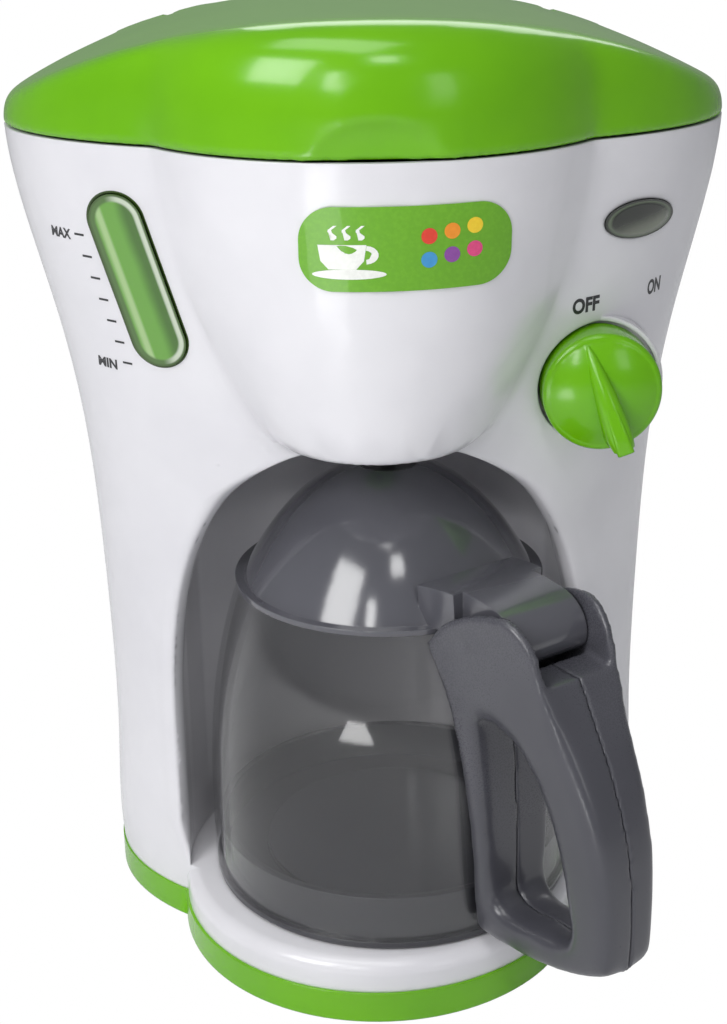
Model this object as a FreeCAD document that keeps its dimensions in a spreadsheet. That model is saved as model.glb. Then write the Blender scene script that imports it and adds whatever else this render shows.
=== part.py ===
import FreeCAD, Part
import math
import os
from types import SimpleNamespace

import Sketcher

# Toy coffee maker: a wide body with a round brew head, a bay with a jug in it, a hinged lid,
# a turning knob that works a valve, and the parts it needs inside.
# Millimetres. +Z is up, -Y is the front, the origin is the middle of the underside.

SIZES = {
    # clearances
    "running_gap": 0.1, "free_gap": 0.3,
    # body: half width and height of each level of the housing
    "housing_wall": 2.2, "seam_y": 24.5, "back_flat_half": 48.0,
    "height_foot": 9.3, "half_width_foot": 78.0,
    "height_low": 45.0, "half_width_low": 77.5,
    "height_waist": 80.0, "half_width_waist": 77.4,
    "height_middle": 110.0, "half_width_middle": 78.3,
    "height_rise": 140.0, "half_width_rise": 80.3,
    "height_flare": 170.0, "half_width_flare": 84.9,
    "height_shoulder": 200.0, "half_width_shoulder": 91.9,
    "height_top": 224.6, "half_width_top": 95.7,
    "front_depth_foot": 55.6, "front_depth_top": 63.9,
    "back_depth_foot": 41.0, "back_depth_top": 43.5,
    # brew head
    "head_bottom_z": 150.0, "head_bottom_radius": 26.5, "head_top_radius": 64.3,
    "head_front_y": -51.4, "head_lean": 5.6, "head_curve": 1.72,
    "crease_radius": 5.0, "head_edge_radius": 4.0,
    # jug bay and platform
    "bay_half_width": 55.0, "bay_spring_z": 60.0, "bay_top_z": 150.0, "bay_floor_z": 18.0,
    "bay_centre_y": -10.0, "bay_edge_radius": 2.5, "bay_power": 2.5,
    "platform_radius": 56.3, "platform_centre_y": -9.9, "platform_edge_radius": 4.0,
    # green base
    "base_proud": 0.4, "base_lobe_radius": 57.0, "base_floor": 2.4, "base_edge_radius": 1.2,
    # lid
    "lid_gap": 0.3, "lid_wall": 2.2, "lid_crown_rise": 30.4, "lid_side_rise": 7.4, "lid_power": 2.2,
    "lid_round_rise": 13.4, "lid_round": 14.0,
    "lid_groove_x": 54.0, "lid_groove_depth": 1.4, "lid_groove_half": 1.8,
    "scoop_half_width": 16.8, "scoop_height": 9.0, "scoop_depth": 4.5,
    "hinge_y": 71.4, "hinge_rise": 1.8, "hinge_barrel_radius": 3.2, "hinge_pin_radius": 1.5,
    "hinge_x": 40.0, "hinge_barrel_length": 12.0, "hinge_lug_length": 8.0,
    # deck and tank
    "deck_drop": 5.1, "deck_thick": 2.4, "tank_floor_z": 172.0, "tank_right_x": 36.0, "tank_wall": 2.0,
    "tank_back_gap": 9.0, "tank_flange": 3.0,
    # outlet and valve
    "outlet_y": -14.0, "outlet_bore": 2.0, "spout_radius": 5.0, "spout_bottom_z": 162.8,
    "gate_thick": 2.0, "gate_half_width": 6.0, "slider_front_y": -11.9, "slider_thick": 2.6,
    "nozzle_radius": 6.0, "nozzle_bottom_z": 146.5, "nozzle_flange_radius": 9.0,
    "nozzle_flange_thick": 2.0, "crank_throw": 5.0, "crank_pin_radius": 1.5, "crank_travel": 55.0,
    # knob
    "knob_x": 57.2, "knob_z": 161.5, "knob_radius": 15.3, "knob_face_y": -31.0, "knob_crown": 3.0,
    "knob_back_y": -19.0, "knob_wall": 2.0, "knob_edge_radius": 1.5, "knob_rest_angle": 19.5,
    "blade_rise": 9.5, "blade_tip": 13.5, "blade_end": 14.2, "blade_thick": 4.4, "blade_tip_thick": 2.0,
    "well_radius": 16.1, "well_floor_y": -17.5, "well_rim": 1.2, "stem_radius": 4.0,
    "crank_disc_radius": 7.6, "crank_room_radius": 12.5, "crank_disc_thick": 2.2,
    # jug
    "jug_x": 3.3, "jug_y": -9.8, "handle_turn": 33.0, "jug_radius": 51.0, "jug_rim_radius": 41.2,
    "jug_wide_z": 35.0, "jug_rim_z": 105.0, "jug_curve": 2.65, "glass_wall": 1.6, "glass_bottom_z": 20.6,
    "cup_wall": 2.0, "cup_rim_z": 33.3, "cup_flange_radius": 50.6, "cup_flange_top_z": 20.5,
    "cup_floor": 2.0, "cup_step_radius": 36.0, "cup_step_height": 1.6, "cup_edge_radius": 1.0,
    # jug lid
    "dome_wall": 1.8, "dome_apex_z": 138.8, "dome_rise": 105.7, "dome_radius": 55.2,
    "dome_flange_radius": 42.0, "dome_flange": 1.5, "recess_radius": 8.2, "recess_depth": 3.0,
    "vent_disc": 1.2, "vent_nub_radius": 2.2, "vent_nub_height": 2.4, "lid_nub_radius": 2.0,
    "lever_top_z": 118.4, "lever_nose_r": 68.2, "lever_pivot_r": 55.0, "lever_pivot_z": 110.0,
    "lever_pin_radius": 1.6, "cheek_thick": 2.5,
    "lever_half": 11.2, "lever_neck_r": 47.0,
    # jug handle
    "handle_root_half": 9.0, "handle_root_top_half": 18.0, "handle_tip_half": 6.7,
    "handle_tip_top_half": 11.0, "handle_wall": 2.0, "slot_floor_z": 104.0,
    "handle_screw_radius": 1.4,
    # windows in the front
    "gauge_radius": 7.0, "gauge_top_x": -63.4, "gauge_top_z": 205.8, "gauge_low_x": -54.5,
    "gauge_low_z": 175.7, "lens_proud": 1.0, "lens_behind": 1.6, "window_gap": 0.15,
    "lamp_x": 67.1, "lamp_z": 203.5, "lamp_half_width": 9.85, "lamp_half_height": 4.85,
    # label on the brew head
    "label_half_width": 25.0, "label_half_height": 10.0, "label_x": 6.4, "label_z": 204.8,
    "label_thick": 0.35, "label_corner": 8.0,
    # electronics
    "board_x": 56.0, "board_z": 199.0, "board_y": -3.0, "board_width": 34.0, "board_height": 34.0,
    "board_thick": 1.6, "chip_side": 9.0, "chip_thick": 1.8, "post_radius": 2.6, "led_radius": 2.5,
    "led_length": 8.6, "board_screw_radius": 1.2, "board_hole_inset": 4.0,
    "switch_x": 30.0, "switch_width": 19.0, "switch_depth": 7.0, "switch_height": 7.0,
    "switch_y": -9.0, "lever_side": 2.4,
    # speaker
    "speaker_z": 126.0, "speaker_radius": 17.0, "speaker_depth": 4.0, "magnet_radius": 9.0,
    "magnet_depth": 4.0, "cone_radius": 14.5, "grille_hole_radius": 1.1, "grille_pitch": 4.4,
    # batteries
    "cell_radius": 5.25, "cell_length": 44.5, "cell_pitch": 11.2, "box_wall": 1.4, "box_z": 32.0,
    "spring_room": 5.5, "door_half_width": 24.0, "door_low_z": 22.0, "door_high_z": 96.0,
    "door_thick": 2.2, "door_gap": 0.25, "contact_thick": 0.4, "wire_radius": 0.4,
    # screws
    "screw_radius": 1.5, "screw_head_radius": 2.8, "screw_head_thick": 2.0, "boss_radius": 4.2,
    "screw_length": 16.0, "low_screw_x": 66.0, "low_screw_z": 34.0, "high_screw_x": 70.0,
    "high_screw_z": 160.0, "front_boss_depth": 14.0, "screw_pocket_y": 38.0,
    "base_screw_x": 66.0, "base_screw_y": 12.0, "base_rear_x": 45.0, "base_rear_y": 55.0,
    "base_boss_top_z": 26.0, "base_screw_length": 13.0, "base_screw_seat": 2.6,
}

doc = FreeCAD.newDocument("CoffeeMaker")
sheet = doc.addObject("Spreadsheet::Sheet", "Sizes")
for row, (alias, number) in enumerate(SIZES.items(), 1):
    sheet.set(f"A{row}", alias)
    sheet.set(f"B{row}", str(number))
    sheet.setAlias(f"B{row}", alias)
doc.recompute()


class Size(float):
    """A length that keeps the formula in the sheet that it came from."""

    def __new__(cls, value, formula=None):
        made = super().__new__(cls, value)
        made.formula = formula or repr(float(value))
        return made

    def _join(self, other, sign, value):
        return Size(value, f"({self.formula} {sign} {Size.text(other)})")

    @staticmethod
    def text(other):
        return other.formula if isinstance(other, Size) else repr(float(other))

    def __add__(self, other):
        return self._join(other, "+", float(self) + float(other))

    def __sub__(self, other):
        return self._join(other, "-", float(self) - float(other))

    def __mul__(self, other):
        return self._join(other, "*", float(self) * float(other))

    def __truediv__(self, other):
        return self._join(other, "/", float(self) / float(other))

    def __neg__(self):
        return Size(-float(self), f"(0 - {self.formula})")


s = SimpleNamespace(**{alias: Size(getattr(sheet, alias), f"Sizes.{alias}") for alias in SIZES})
s.lid_crown_z = s.height_top + s.lid_crown_rise
s.lid_side_z = s.height_top + s.lid_side_rise
s.lid_round_z = s.height_top + s.lid_round_rise
s.hinge_z = s.height_top + s.hinge_rise
s.deck_z = s.height_top - s.deck_drop
ZERO = Size(0.0, "0")
V = FreeCAD.Vector
UP = V(0, 0, 1)
FAR = 400.0
PIECES = []


# Helpers
def add_piece(item, name):
    """Names an object of the document as one piece of the product."""
    item.Label = name
    PIECES.append(item)
    return item


def shaped(name, shape, placement=FreeCAD.Placement()):
    """A piece whose shape is made with the shape functions."""
    item = doc.addObject("Part::Feature", name)
    item.Shape = shape
    item.Placement = placement
    return add_piece(item, name)


def sketch_on(body, role):
    """A sketch on one of the body's own planes."""
    sketch = body.newObject("Sketcher::SketchObject", body.Name + "_sketch")
    plane = next(item for item in body.Origin.OriginFeatures if item.Role == role)
    sketch.AttachmentSupport = [(plane, "")]
    sketch.MapMode = "FlatFace"
    return sketch


def bind_distance(sketch, kind, line, value):
    """Ties one coordinate of a line's start to the sheet."""
    if float(value) == 0.0:
        axis = -2 if kind == "DistanceX" else -1
        sketch.addConstraint(Sketcher.Constraint("PointOnObject", line, 1, axis))
        return
    index = sketch.addConstraint(Sketcher.Constraint(kind, -1, 1, line, 1, float(value)))
    sketch.setExpression(f"Constraints[{index}]", Size.text(value))


def draw_outline(sketch, points):
    """A closed outline of straight lines with every corner tied to the sheet."""
    first = len(sketch.Geometry)
    count = len(points)
    for i, (x, y) in enumerate(points):
        nx, ny = points[(i + 1) % count]
        sketch.addGeometry(Part.LineSegment(V(float(x), float(y), 0), V(float(nx), float(ny), 0)))
    for i in range(count):
        sketch.addConstraint(Sketcher.Constraint("Coincident", first + i, 2, first + (i + 1) % count, 1))
    for i, (x, y) in enumerate(points):
        bind_distance(sketch, "DistanceX", first + i, x)
        bind_distance(sketch, "DistanceY", first + i, y)


def turned(name, points, placement):
    """A piece turned about its own Z axis from an outline of radius and height."""
    body = doc.addObject("PartDesign::Body", name)
    sketch = sketch_on(body, "XZ_Plane")
    draw_outline(sketch, points)
    turn = body.newObject("PartDesign::Revolution", name + "_turn")
    turn.Profile = sketch
    turn.ReferenceAxis = (sketch, ["V_Axis"])
    turn.Angle = 360.0
    body.Placement = placement
    return body


def slab(name, width, depth, height, placement):
    """A rectangular piece from a corner."""
    body = doc.addObject("PartDesign::Body", name)
    sketch = sketch_on(body, "XY_Plane")
    draw_outline(sketch, [(ZERO, ZERO), (width, ZERO), (width, depth), (ZERO, depth)])
    pad = body.newObject("PartDesign::Pad", name + "_pad")
    pad.Profile = sketch
    pad.setExpression("Length", Size.text(height))
    body.Placement = placement
    return body


def at(x, y, z, axis=UP, turn=0.0):
    """A placement with its Z axis along the given direction."""
    rotation = FreeCAD.Rotation(UP, axis).multiply(FreeCAD.Rotation(UP, turn))
    return FreeCAD.Placement(V(float(x), float(y), float(z)), rotation)


def rod(radius, start, axis, length):
    """A plain cylinder."""
    return Part.makeCylinder(float(radius), float(length), start, axis)


def block(x0, x1, y0, y1, z0, z1):
    """A box between two values on each axis."""
    return Part.makeBox(x1 - x0, y1 - y0, z1 - z0, V(x0, y0, z0))


def prism(points, axis):
    """A polygon pushed along an axis."""
    wire = Part.makePolygon(points + [points[0]])
    return Part.Face(wire).extrude(axis)


def revolve(points):
    """A closed outline of radius and height turned about Z."""
    wire = Part.makePolygon([V(r, 0, z) for r, z in points] + [V(points[0][0], 0, points[0][1])])
    return Part.Face(wire).revolve(V(0, 0, 0), UP, 360)


def screws(name, places, axis, length):
    """Identical screws with a round head, one solid each. Places are the undersides of the heads."""
    solids = []
    for place in places:
        head = rod(s.screw_head_radius, place - axis * float(s.screw_head_thick), axis, s.screw_head_thick)
        slot = float(s.screw_head_radius) * 0.8
        cross = Part.makeBox(2 * slot, 0.7, 1.2, V(-slot, -0.35, -0.6))
        cross = cross.fuse(Part.makeBox(0.7, 2 * slot, 1.2, V(-0.35, -slot, -0.6)))
        cross.Placement = at(*(place - axis * float(s.screw_head_thick)), axis=axis)
        solids.append(head.fuse(rod(s.screw_radius, place, axis, length)).removeSplitter().cut(cross))
    return shaped(name, Part.makeCompound(solids))


# The housing's outer form
LEVELS = ["foot", "low", "waist", "middle", "rise", "flare", "shoulder", "top"]


def quarter(start, corner, end):
    """A quarter of an ellipse as a rational curve."""
    curve = Part.BezierCurve()
    curve.setPoles([start, corner, end])
    curve.setWeight(2, math.sqrt(0.5))
    return curve.toShape()


def oval(half, front, back, flat, z):
    """One level of the housing: an ellipse in front and a flatter curve at the back."""
    y = s.seam_y
    tip = V(0, y - front, z)
    right = V(half, y, z)
    rear_right = V(flat, y + back, z)
    rear_left = V(-flat, y + back, z)
    left = V(-half, y, z)
    return Part.Wire([
        quarter(tip, V(half, y - front, z), right),
        quarter(right, V(half, y + back, z), rear_right),
        Part.makeLine(rear_right, rear_left),
        quarter(rear_left, V(-half, y + back, z), left),
        quarter(left, V(-half, y - front, z), tip)])


def level(name, inset=0.0):
    """Half width, front depth and back depth of one level."""
    half = getattr(s, "half_width_" + name)
    share = (half - s.half_width_foot) / (s.half_width_top - s.half_width_foot)
    front = s.front_depth_foot + share * (s.front_depth_top - s.front_depth_foot)
    back = s.back_depth_foot + share * (s.back_depth_top - s.back_depth_foot)
    return half - inset, front - inset, back - inset


def wide_body(inset=0.0):
    """The wide part of the housing."""
    rings = [oval(*level(name, inset), s.back_flat_half - inset * 0.4, getattr(s, "height_" + name))
             for name in LEVELS]
    return Part.makeLoft(rings, True, False)


def front_half():
    """Everything in front of the seam."""
    return block(-FAR, FAR, -FAR, s.seam_y, -FAR, FAR)


HEAD_STEPS = (0.12, 0.28, 0.5, 0.75, 1)
EDGE_STEPS = (0, 0.12, 0.4, 1)


def brew_head(extra=0.0):
    """The round head that grows out of the body above the bay."""
    rings = []
    height = s.height_top - s.head_bottom_z
    rounded = [step * s.head_edge_radius / height for step in EDGE_STEPS]
    for t in rounded + list(HEAD_STEPS):
        z = s.head_bottom_z + t * height
        grow = 1 - (1 - t) ** float(s.head_curve)
        radius = s.head_bottom_radius + grow * (s.head_top_radius - s.head_bottom_radius)
        centre = s.head_front_y - t * s.head_lean + radius
        short = max(0.0, 1 - t * height / s.head_edge_radius)
        radius -= s.head_edge_radius * (1 - math.sqrt(1 - short ** 2)) * 0.8
        rings.append(Part.Wire([Part.Circle(V(0, centre, z), UP, radius + extra).toShape()]))
    return Part.makeLoft(rings, True, False).common(front_half())


def bay(extra=0.0):
    """The arched room that the jug stands in."""
    half = s.bay_half_width + extra
    rise = s.bay_top_z + extra - s.bay_spring_z
    steps = 24
    points = []
    for i in range(steps + 1):
        angle = math.pi * i / steps
        across = math.copysign(abs(math.cos(angle)) ** (2 / s.bay_power), math.cos(angle))
        points.append(V(half * across, -FAR,
                        s.bay_spring_z + rise * abs(math.sin(angle)) ** (2 / s.bay_power)))
    arch = Part.BSplineCurve()
    arch.interpolate(points, InitialTangent=UP, FinalTangent=-UP)
    floor = s.bay_floor_z - extra
    left, right = V(-half, -FAR, floor), V(half, -FAR, floor)
    wire = Part.Wire([arch.toShape(), Part.makeLine(points[-1], left), Part.makeLine(left, right),
                      Part.makeLine(right, points[0])])
    plan = rod(half, V(0, s.bay_centre_y, -FAR), UP, 2 * FAR)
    plan = plan.fuse(block(-half, half, -FAR, s.bay_centre_y, -FAR, FAR))
    return Part.Face(wire).extrude(V(0, 2 * FAR, 0)).common(plan)


def edges_in(shape, low, high, least=0.0):
    """Edges whose box lies between two corners and that are long enough."""
    found = []
    for edge in shape.Edges:
        box = edge.BoundBox
        inside = all(a <= b for a, b in zip(low, (box.XMin, box.YMin, box.ZMin)))
        inside = inside and all(a >= b for a, b in zip(high, (box.XMax, box.YMax, box.ZMax)))
        if inside and edge.Length > least:
            found.append(edge)
    return found


def platform():
    """The round step in front of the bay that the jug stands on."""
    step = rod(s.platform_radius, V(0, s.platform_centre_y, s.height_foot), UP,
               s.bay_floor_z - s.height_foot)
    top = edges_in(step, (-FAR, -FAR, s.bay_floor_z - 0.1), (FAR, FAR, s.bay_floor_z + 0.1))
    return step.makeFillet(float(s.platform_edge_radius), top).common(front_half())


def crease_edges(shape):
    """The two edges where the brew head meets the wide body."""
    found = []
    for edge in shape.Edges:
        box = edge.BoundBox
        tall = box.ZMin < s.head_bottom_z + 1 and box.ZMax > s.height_top - 1.5
        if tall and box.YMax < s.seam_y - 20 and 10 < box.XMax - box.XMin < s.head_top_radius:
            found.append(edge)
    return found


def outer_form():
    """The whole outside of the housing before anything is cut from it."""
    form = wide_body().fuse(brew_head()).removeSplitter()
    return form.makeFillet(float(s.crease_radius), crease_edges(form))


def inner_form():
    """The room inside the housing's walls."""
    return wide_body(s.housing_wall).fuse(brew_head(-s.housing_wall))


def stadium(radius, y0, y1):
    """The slanted slot of the level window as a prism along Y."""
    low, top = V(s.gauge_low_x, y0, s.gauge_low_z), V(s.gauge_top_x, y0, s.gauge_top_z)
    along = (top - low).normalize()
    side = along.cross(V(0, 1, 0)) * radius
    box = prism([low - side, low + side, top + side, top - side], V(0, y1 - y0, 0))
    ends = rod(radius, low, V(0, 1, 0), y1 - y0).fuse(rod(radius, top, V(0, 1, 0), y1 - y0))
    return box.fuse(ends).removeSplitter()


def lamp_oval(extra, y0, y1):
    """The oval of the lamp window as a prism along Y."""
    half, rise = s.lamp_half_width + extra, s.lamp_half_height + extra
    curve = Part.Ellipse(V(half, 0, 0), V(0, rise, 0), V(0, 0, 0))
    face = Part.Face(Part.Wire([curve.toShape()])).extrude(V(0, 0, y1 - y0))
    face.rotate(V(0, 0, 0), V(1, 0, 0), 90)
    face.translate(V(s.lamp_x, y1, s.lamp_z))
    return face


FRONT = V(0, -1, 0)
BACK = V(0, 1, 0)
KNOB_AXIS = V(s.knob_x, 0, s.knob_z)
low_screws = [V(side * s.low_screw_x, s.seam_y, s.low_screw_z) for side in (-1, 1)]
high_screws = [V(side * s.high_screw_x, s.seam_y, s.high_screw_z) for side in (-1, 1)]
seam_screws = low_screws + high_screws
front_base_screws = [V(side * s.base_screw_x, s.base_screw_y, 0) for side in (-1, 1)]
rear_base_screws = [V(side * s.base_rear_x, s.base_rear_y, 0) for side in (-1, 1)]
board_screw_places = [
    V(s.board_x + sx * (s.board_width / 2 - s.board_hole_inset), s.board_y,
      s.board_z + sz * (s.board_height / 2 - s.board_hole_inset)) for sx, sz in ((-1, 1), (-1, -1))]
switch_posts = [V(s.switch_x + side * s.switch_width * 0.35, s.switch_y + s.switch_depth / 2, 0)
                for side in (-1, 1)]


def base_boss(place):
    """A screw boss that stands on the base floor's level inside the housing."""
    return rod(s.boss_radius, V(place.x, place.y, s.height_foot), UP, s.base_boss_top_z - s.height_foot)


def base_bore(place):
    """The bore in a base screw boss."""
    return rod(s.screw_radius, V(place.x, place.y, s.height_foot - 1), UP, s.base_screw_length)


outer = outer_form()
hollow = inner_form()
liner = bay(s.housing_wall)
well = rod(s.well_radius, KNOB_AXIS + V(0, s.well_floor_y, 0), FRONT, FAR)
well_ring = rod(s.well_radius + s.well_rim, KNOB_AXIS + V(0, s.well_floor_y - 2.5, 0), BACK, 24)


def web(place, reach, thick, front_y, back_y, low_z, high_z):
    """A rib from a boss out to the side wall."""
    side = math.copysign(1, place.x)
    x0, x1 = sorted((place.x, place.x + side * reach))
    half = thick / 2
    if front_y is None:
        return block(x0, x1, place.y - half, place.y + half, low_z, high_z)
    return block(x0, x1, front_y, back_y, place.z - half, place.z + half)


def front_shell():
    """White front housing: walls, brew head, jug bay, platform, knob well and its inner posts."""
    whole = outer.fuse(platform())
    solid = whole.common(front_half())
    lining = liner.common(whole)
    stem_tube = rod(s.stem_radius + s.housing_wall, KNOB_AXIS + V(0, s.well_floor_y, 0), BACK,
                    s.housing_wall + 0.6)
    floor = rod(s.well_radius + s.well_rim, KNOB_AXIS + V(0, s.well_floor_y, 0), BACK, s.housing_wall)
    inside = []
    for place in seam_screws:
        inside.append(rod(s.boss_radius, place, FRONT, s.front_boss_depth))
        inside.append(web(place, 30, s.housing_wall, place.y - s.front_boss_depth, place.y, 0, 0))
    for place in front_base_screws:
        inside.append(base_boss(place))
        inside.append(web(place, 30, s.housing_wall, None, 0, s.height_foot, s.base_boss_top_z))
    for place in board_screw_places:
        inside.append(rod(s.post_radius, place, FRONT, 40))
    for place in switch_posts:
        top = s.knob_z - s.switch_height / 2
        inside.append(rod(s.post_radius, V(place.x, place.y, s.bay_spring_z), UP, top - s.bay_spring_z))
    outlet = V(0, s.outlet_y, s.bay_top_z - 10)
    inside.append(rod(s.nozzle_flange_radius + 1.5, outlet, UP,
                      10 + s.housing_wall + s.nozzle_flange_thick))
    inside = inside[0].fuse(inside[1:]).common(whole)
    ring = well_ring.common(block(0, FAR, -FAR, s.seam_y, 0, FAR)).cut(hollow)
    shell = solid.cut(hollow).fuse([lining, inside, stem_tube, ring, floor])
    seat = V(0, s.outlet_y, s.bay_top_z + s.housing_wall)
    cutters = [bay(), well, rod(s.stem_radius + s.running_gap, KNOB_AXIS - V(0, 60, 0), BACK, 120)]
    behind = KNOB_AXIS + V(0, s.well_floor_y + s.housing_wall, 0)
    crank_room = rod(s.crank_room_radius, behind, BACK, 12)
    cutters.append(crank_room.cut(rod(s.stem_radius + s.housing_wall, behind, BACK, 0.6)))
    cutters += [rod(s.screw_radius, place, FRONT, s.front_boss_depth - 2) for place in seam_screws]
    cutters += [base_bore(place) for place in front_base_screws]
    cutters += [rod(s.board_screw_radius, place, FRONT, 6) for place in board_screw_places]
    cutters.append(stadium(s.gauge_radius + s.window_gap, -60, 10))
    cutters.append(lamp_oval(s.window_gap, -40, -8))
    cutters.append(rod(s.nozzle_radius + s.window_gap, outlet, UP, 40))
    cutters.append(rod(s.nozzle_flange_radius + s.window_gap, seat, UP, 40))
    return shell.cut(cutters)


def rear_shell():
    """White rear housing with the battery opening, the speaker grille and the screw bosses."""
    back = block(-FAR, FAR, s.seam_y, FAR, -FAR, FAR)
    walls = outer.common(back).cut(hollow)
    inside = []
    for place in seam_screws:
        inside.append(rod(s.screw_head_radius + s.housing_wall, place, BACK, 60))
        inside.append(web(place, 30, s.housing_wall, place.y, place.y + 20, 0, 0))
    for place in rear_base_screws:
        inside.append(base_boss(place))
        inside.append(web(place, 30, s.housing_wall, None, 0, s.height_foot, s.base_boss_top_z))
    shell = walls.fuse(inside[0].fuse(inside[1:]).common(outer).common(back))
    wall_y = s.seam_y + s.back_depth_foot
    edge_y = s.seam_y + s.back_depth_top + 0.4
    lug_low = s.hinge_z - 12
    for side in (-1, 1):
        x0 = side * s.hinge_x - s.hinge_lug_length / 2
        lug = rod(s.hinge_barrel_radius, V(x0, s.hinge_y, s.hinge_z), V(1, 0, 0), s.hinge_lug_length)
        foot = prism([V(x0, s.hinge_y + s.hinge_barrel_radius, s.hinge_z), V(x0, s.hinge_y, lug_low + 4),
                      V(x0, wall_y, lug_low), V(x0, wall_y, s.hinge_z - 5), V(x0, edge_y, s.hinge_z - 2.5),
                      V(x0, edge_y, s.hinge_z)], V(s.hinge_lug_length, 0, 0))
        shell = shell.fuse(lug.fuse(foot).cut(hollow))
    cutters = [rod(s.screw_head_radius + s.free_gap, V(p.x, s.screw_pocket_y - s.screw_head_thick, p.z),
                   BACK, 80)
               for p in seam_screws]
    cutters += [rod(s.screw_radius + s.running_gap, place, BACK, 60) for place in seam_screws]
    cutters += [base_bore(place) for place in rear_base_screws]
    cutters.append(block(-s.door_half_width, s.door_half_width, wall_y - 12, FAR, s.door_low_z,
                         s.door_high_z))
    cutters += [rod(s.grille_hole_radius, V(x, wall_y - 10, z), BACK, 40) for x, z in grille_holes()]
    cutters.append(rod(s.hinge_pin_radius, V(-90, s.hinge_y, s.hinge_z), V(1, 0, 0), 180))
    return shell.cut(cutters)


def grille_holes():
    """Centres of the speaker grille: one hole with two rings round it."""
    centres = [(0.0, s.speaker_z)]
    for ring in (1, 2):
        for i in range(6 * ring):
            angle = math.radians(60 * i / ring)
            reach = s.grille_pitch * ring
            centres.append((reach * math.cos(angle), s.speaker_z + reach * math.sin(angle)))
    return centres


def base_plate():
    """Green skirt and floor under the housing."""
    half, front, back = level("foot", -s.base_proud)
    ring = Part.Face(oval(half, front, back, s.back_flat_half, 0))
    skirt = ring.extrude(V(0, 0, s.height_foot))
    lobe = rod(s.base_lobe_radius, V(0, s.platform_centre_y, 0), UP, s.height_foot).common(front_half())
    skirt = skirt.fuse(lobe).removeSplitter()
    under = edges_in(skirt, (-FAR, -FAR, -0.1), (FAR, FAR, 0.1))
    skirt = skirt.makeFillet(float(s.base_edge_radius), under)
    inner_ring = Part.Face(oval(*level("foot", s.housing_wall), s.back_flat_half - 1, s.base_floor))
    room = inner_ring.extrude(V(0, 0, 20))
    room = room.fuse(rod(s.base_lobe_radius - s.base_proud - s.housing_wall,
                         V(0, s.platform_centre_y, s.base_floor), UP, 20).common(front_half()))
    tray = skirt.cut(room)
    cutters = []
    for place in front_base_screws + rear_base_screws:
        tray = tray.fuse(rod(s.boss_radius, V(place.x, place.y, 1), UP, s.height_foot - 1))
        cutters.append(rod(s.screw_radius + s.running_gap, V(place.x, place.y, -1), UP, 20))
        cutters.append(rod(s.screw_head_radius + s.free_gap, V(place.x, place.y, -1), UP,
                           2 + s.base_screw_seat))
    return tray.cut(cutters)


def lid_block(inset):
    """The lid's plan raised to the crown: the wide oval and the round brew head, rounded over at the top."""
    low = s.height_top + s.lid_gap
    crown = s.lid_crown_z - inset + 0.5
    half, front, back = level("top", inset)
    wide = Part.Face(oval(half, front, back, s.back_flat_half - inset * 0.4, low)).extrude(
        V(0, 0, crown - low))
    rear_y = s.seam_y + back
    turn = s.lid_round
    rear = Part.Wire([
        Part.makeLine(V(-FAR, -FAR, low), V(-FAR, rear_y, low)),
        Part.makeLine(V(-FAR, rear_y, low), V(-FAR, rear_y, s.lid_round_z)),
        quarter(V(-FAR, rear_y, s.lid_round_z), V(-FAR, rear_y, crown), V(-FAR, rear_y - turn, crown)),
        Part.makeLine(V(-FAR, rear_y - turn, crown), V(-FAR, -FAR, crown)),
        Part.makeLine(V(-FAR, -FAR, crown), V(-FAR, -FAR, low))])
    wide = wide.common(Part.Face(rear).extrude(V(2 * FAR, 0, 0)))
    radius = s.head_top_radius - inset
    side = Part.Wire([
        Part.makeLine(V(0, 0, low), V(radius, 0, low)),
        Part.makeLine(V(radius, 0, low), V(radius, 0, s.lid_round_z)),
        quarter(V(radius, 0, s.lid_round_z), V(radius, 0, crown), V(radius - turn, 0, crown)),
        Part.makeLine(V(radius - turn, 0, crown), V(0, 0, crown)),
        Part.makeLine(V(0, 0, crown), V(0, 0, low))])
    disc = Part.Face(side).revolve(V(0, 0, 0), UP, 360)
    disc.translate(V(0, s.head_front_y - s.head_lean + s.head_top_radius, 0))
    return wide.fuse(disc.common(front_half()))


def lid_silhouette(inset):
    """The lid's crowned form as a prism along Y."""
    low = s.height_top + s.lid_gap
    half = s.half_width_top - inset
    crown = s.lid_crown_z - inset
    points = []
    steps = 12
    for i in range(steps + 1):
        x = half * (1 - 2 * i / steps)
        drop = (crown - (s.lid_side_z - inset)) * abs(x / half) ** float(s.lid_power)
        points.append(V(x, -FAR, crown - drop))
    curve = Part.BSplineCurve()
    curve.interpolate(points)
    left, right = V(-half, -FAR, low), V(half, -FAR, low)
    wire = Part.Wire([curve.toShape(), Part.makeLine(points[-1], left), Part.makeLine(left, right),
                      Part.makeLine(right, points[0])])
    return Part.Face(wire).extrude(V(0, 2 * FAR, 0))


def lid_scoop(extra):
    """The thumb scoop in the middle of the lid's front edge."""
    ball = Part.makeSphere(1.0)
    matrix = FreeCAD.Matrix()
    matrix.scale(s.scoop_half_width + extra, s.scoop_depth + extra, s.scoop_height + extra)
    shape = ball.transformGeometry(matrix)
    shape.translate(V(0, s.head_front_y - s.head_lean, s.height_top + s.lid_gap))
    return shape


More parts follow.
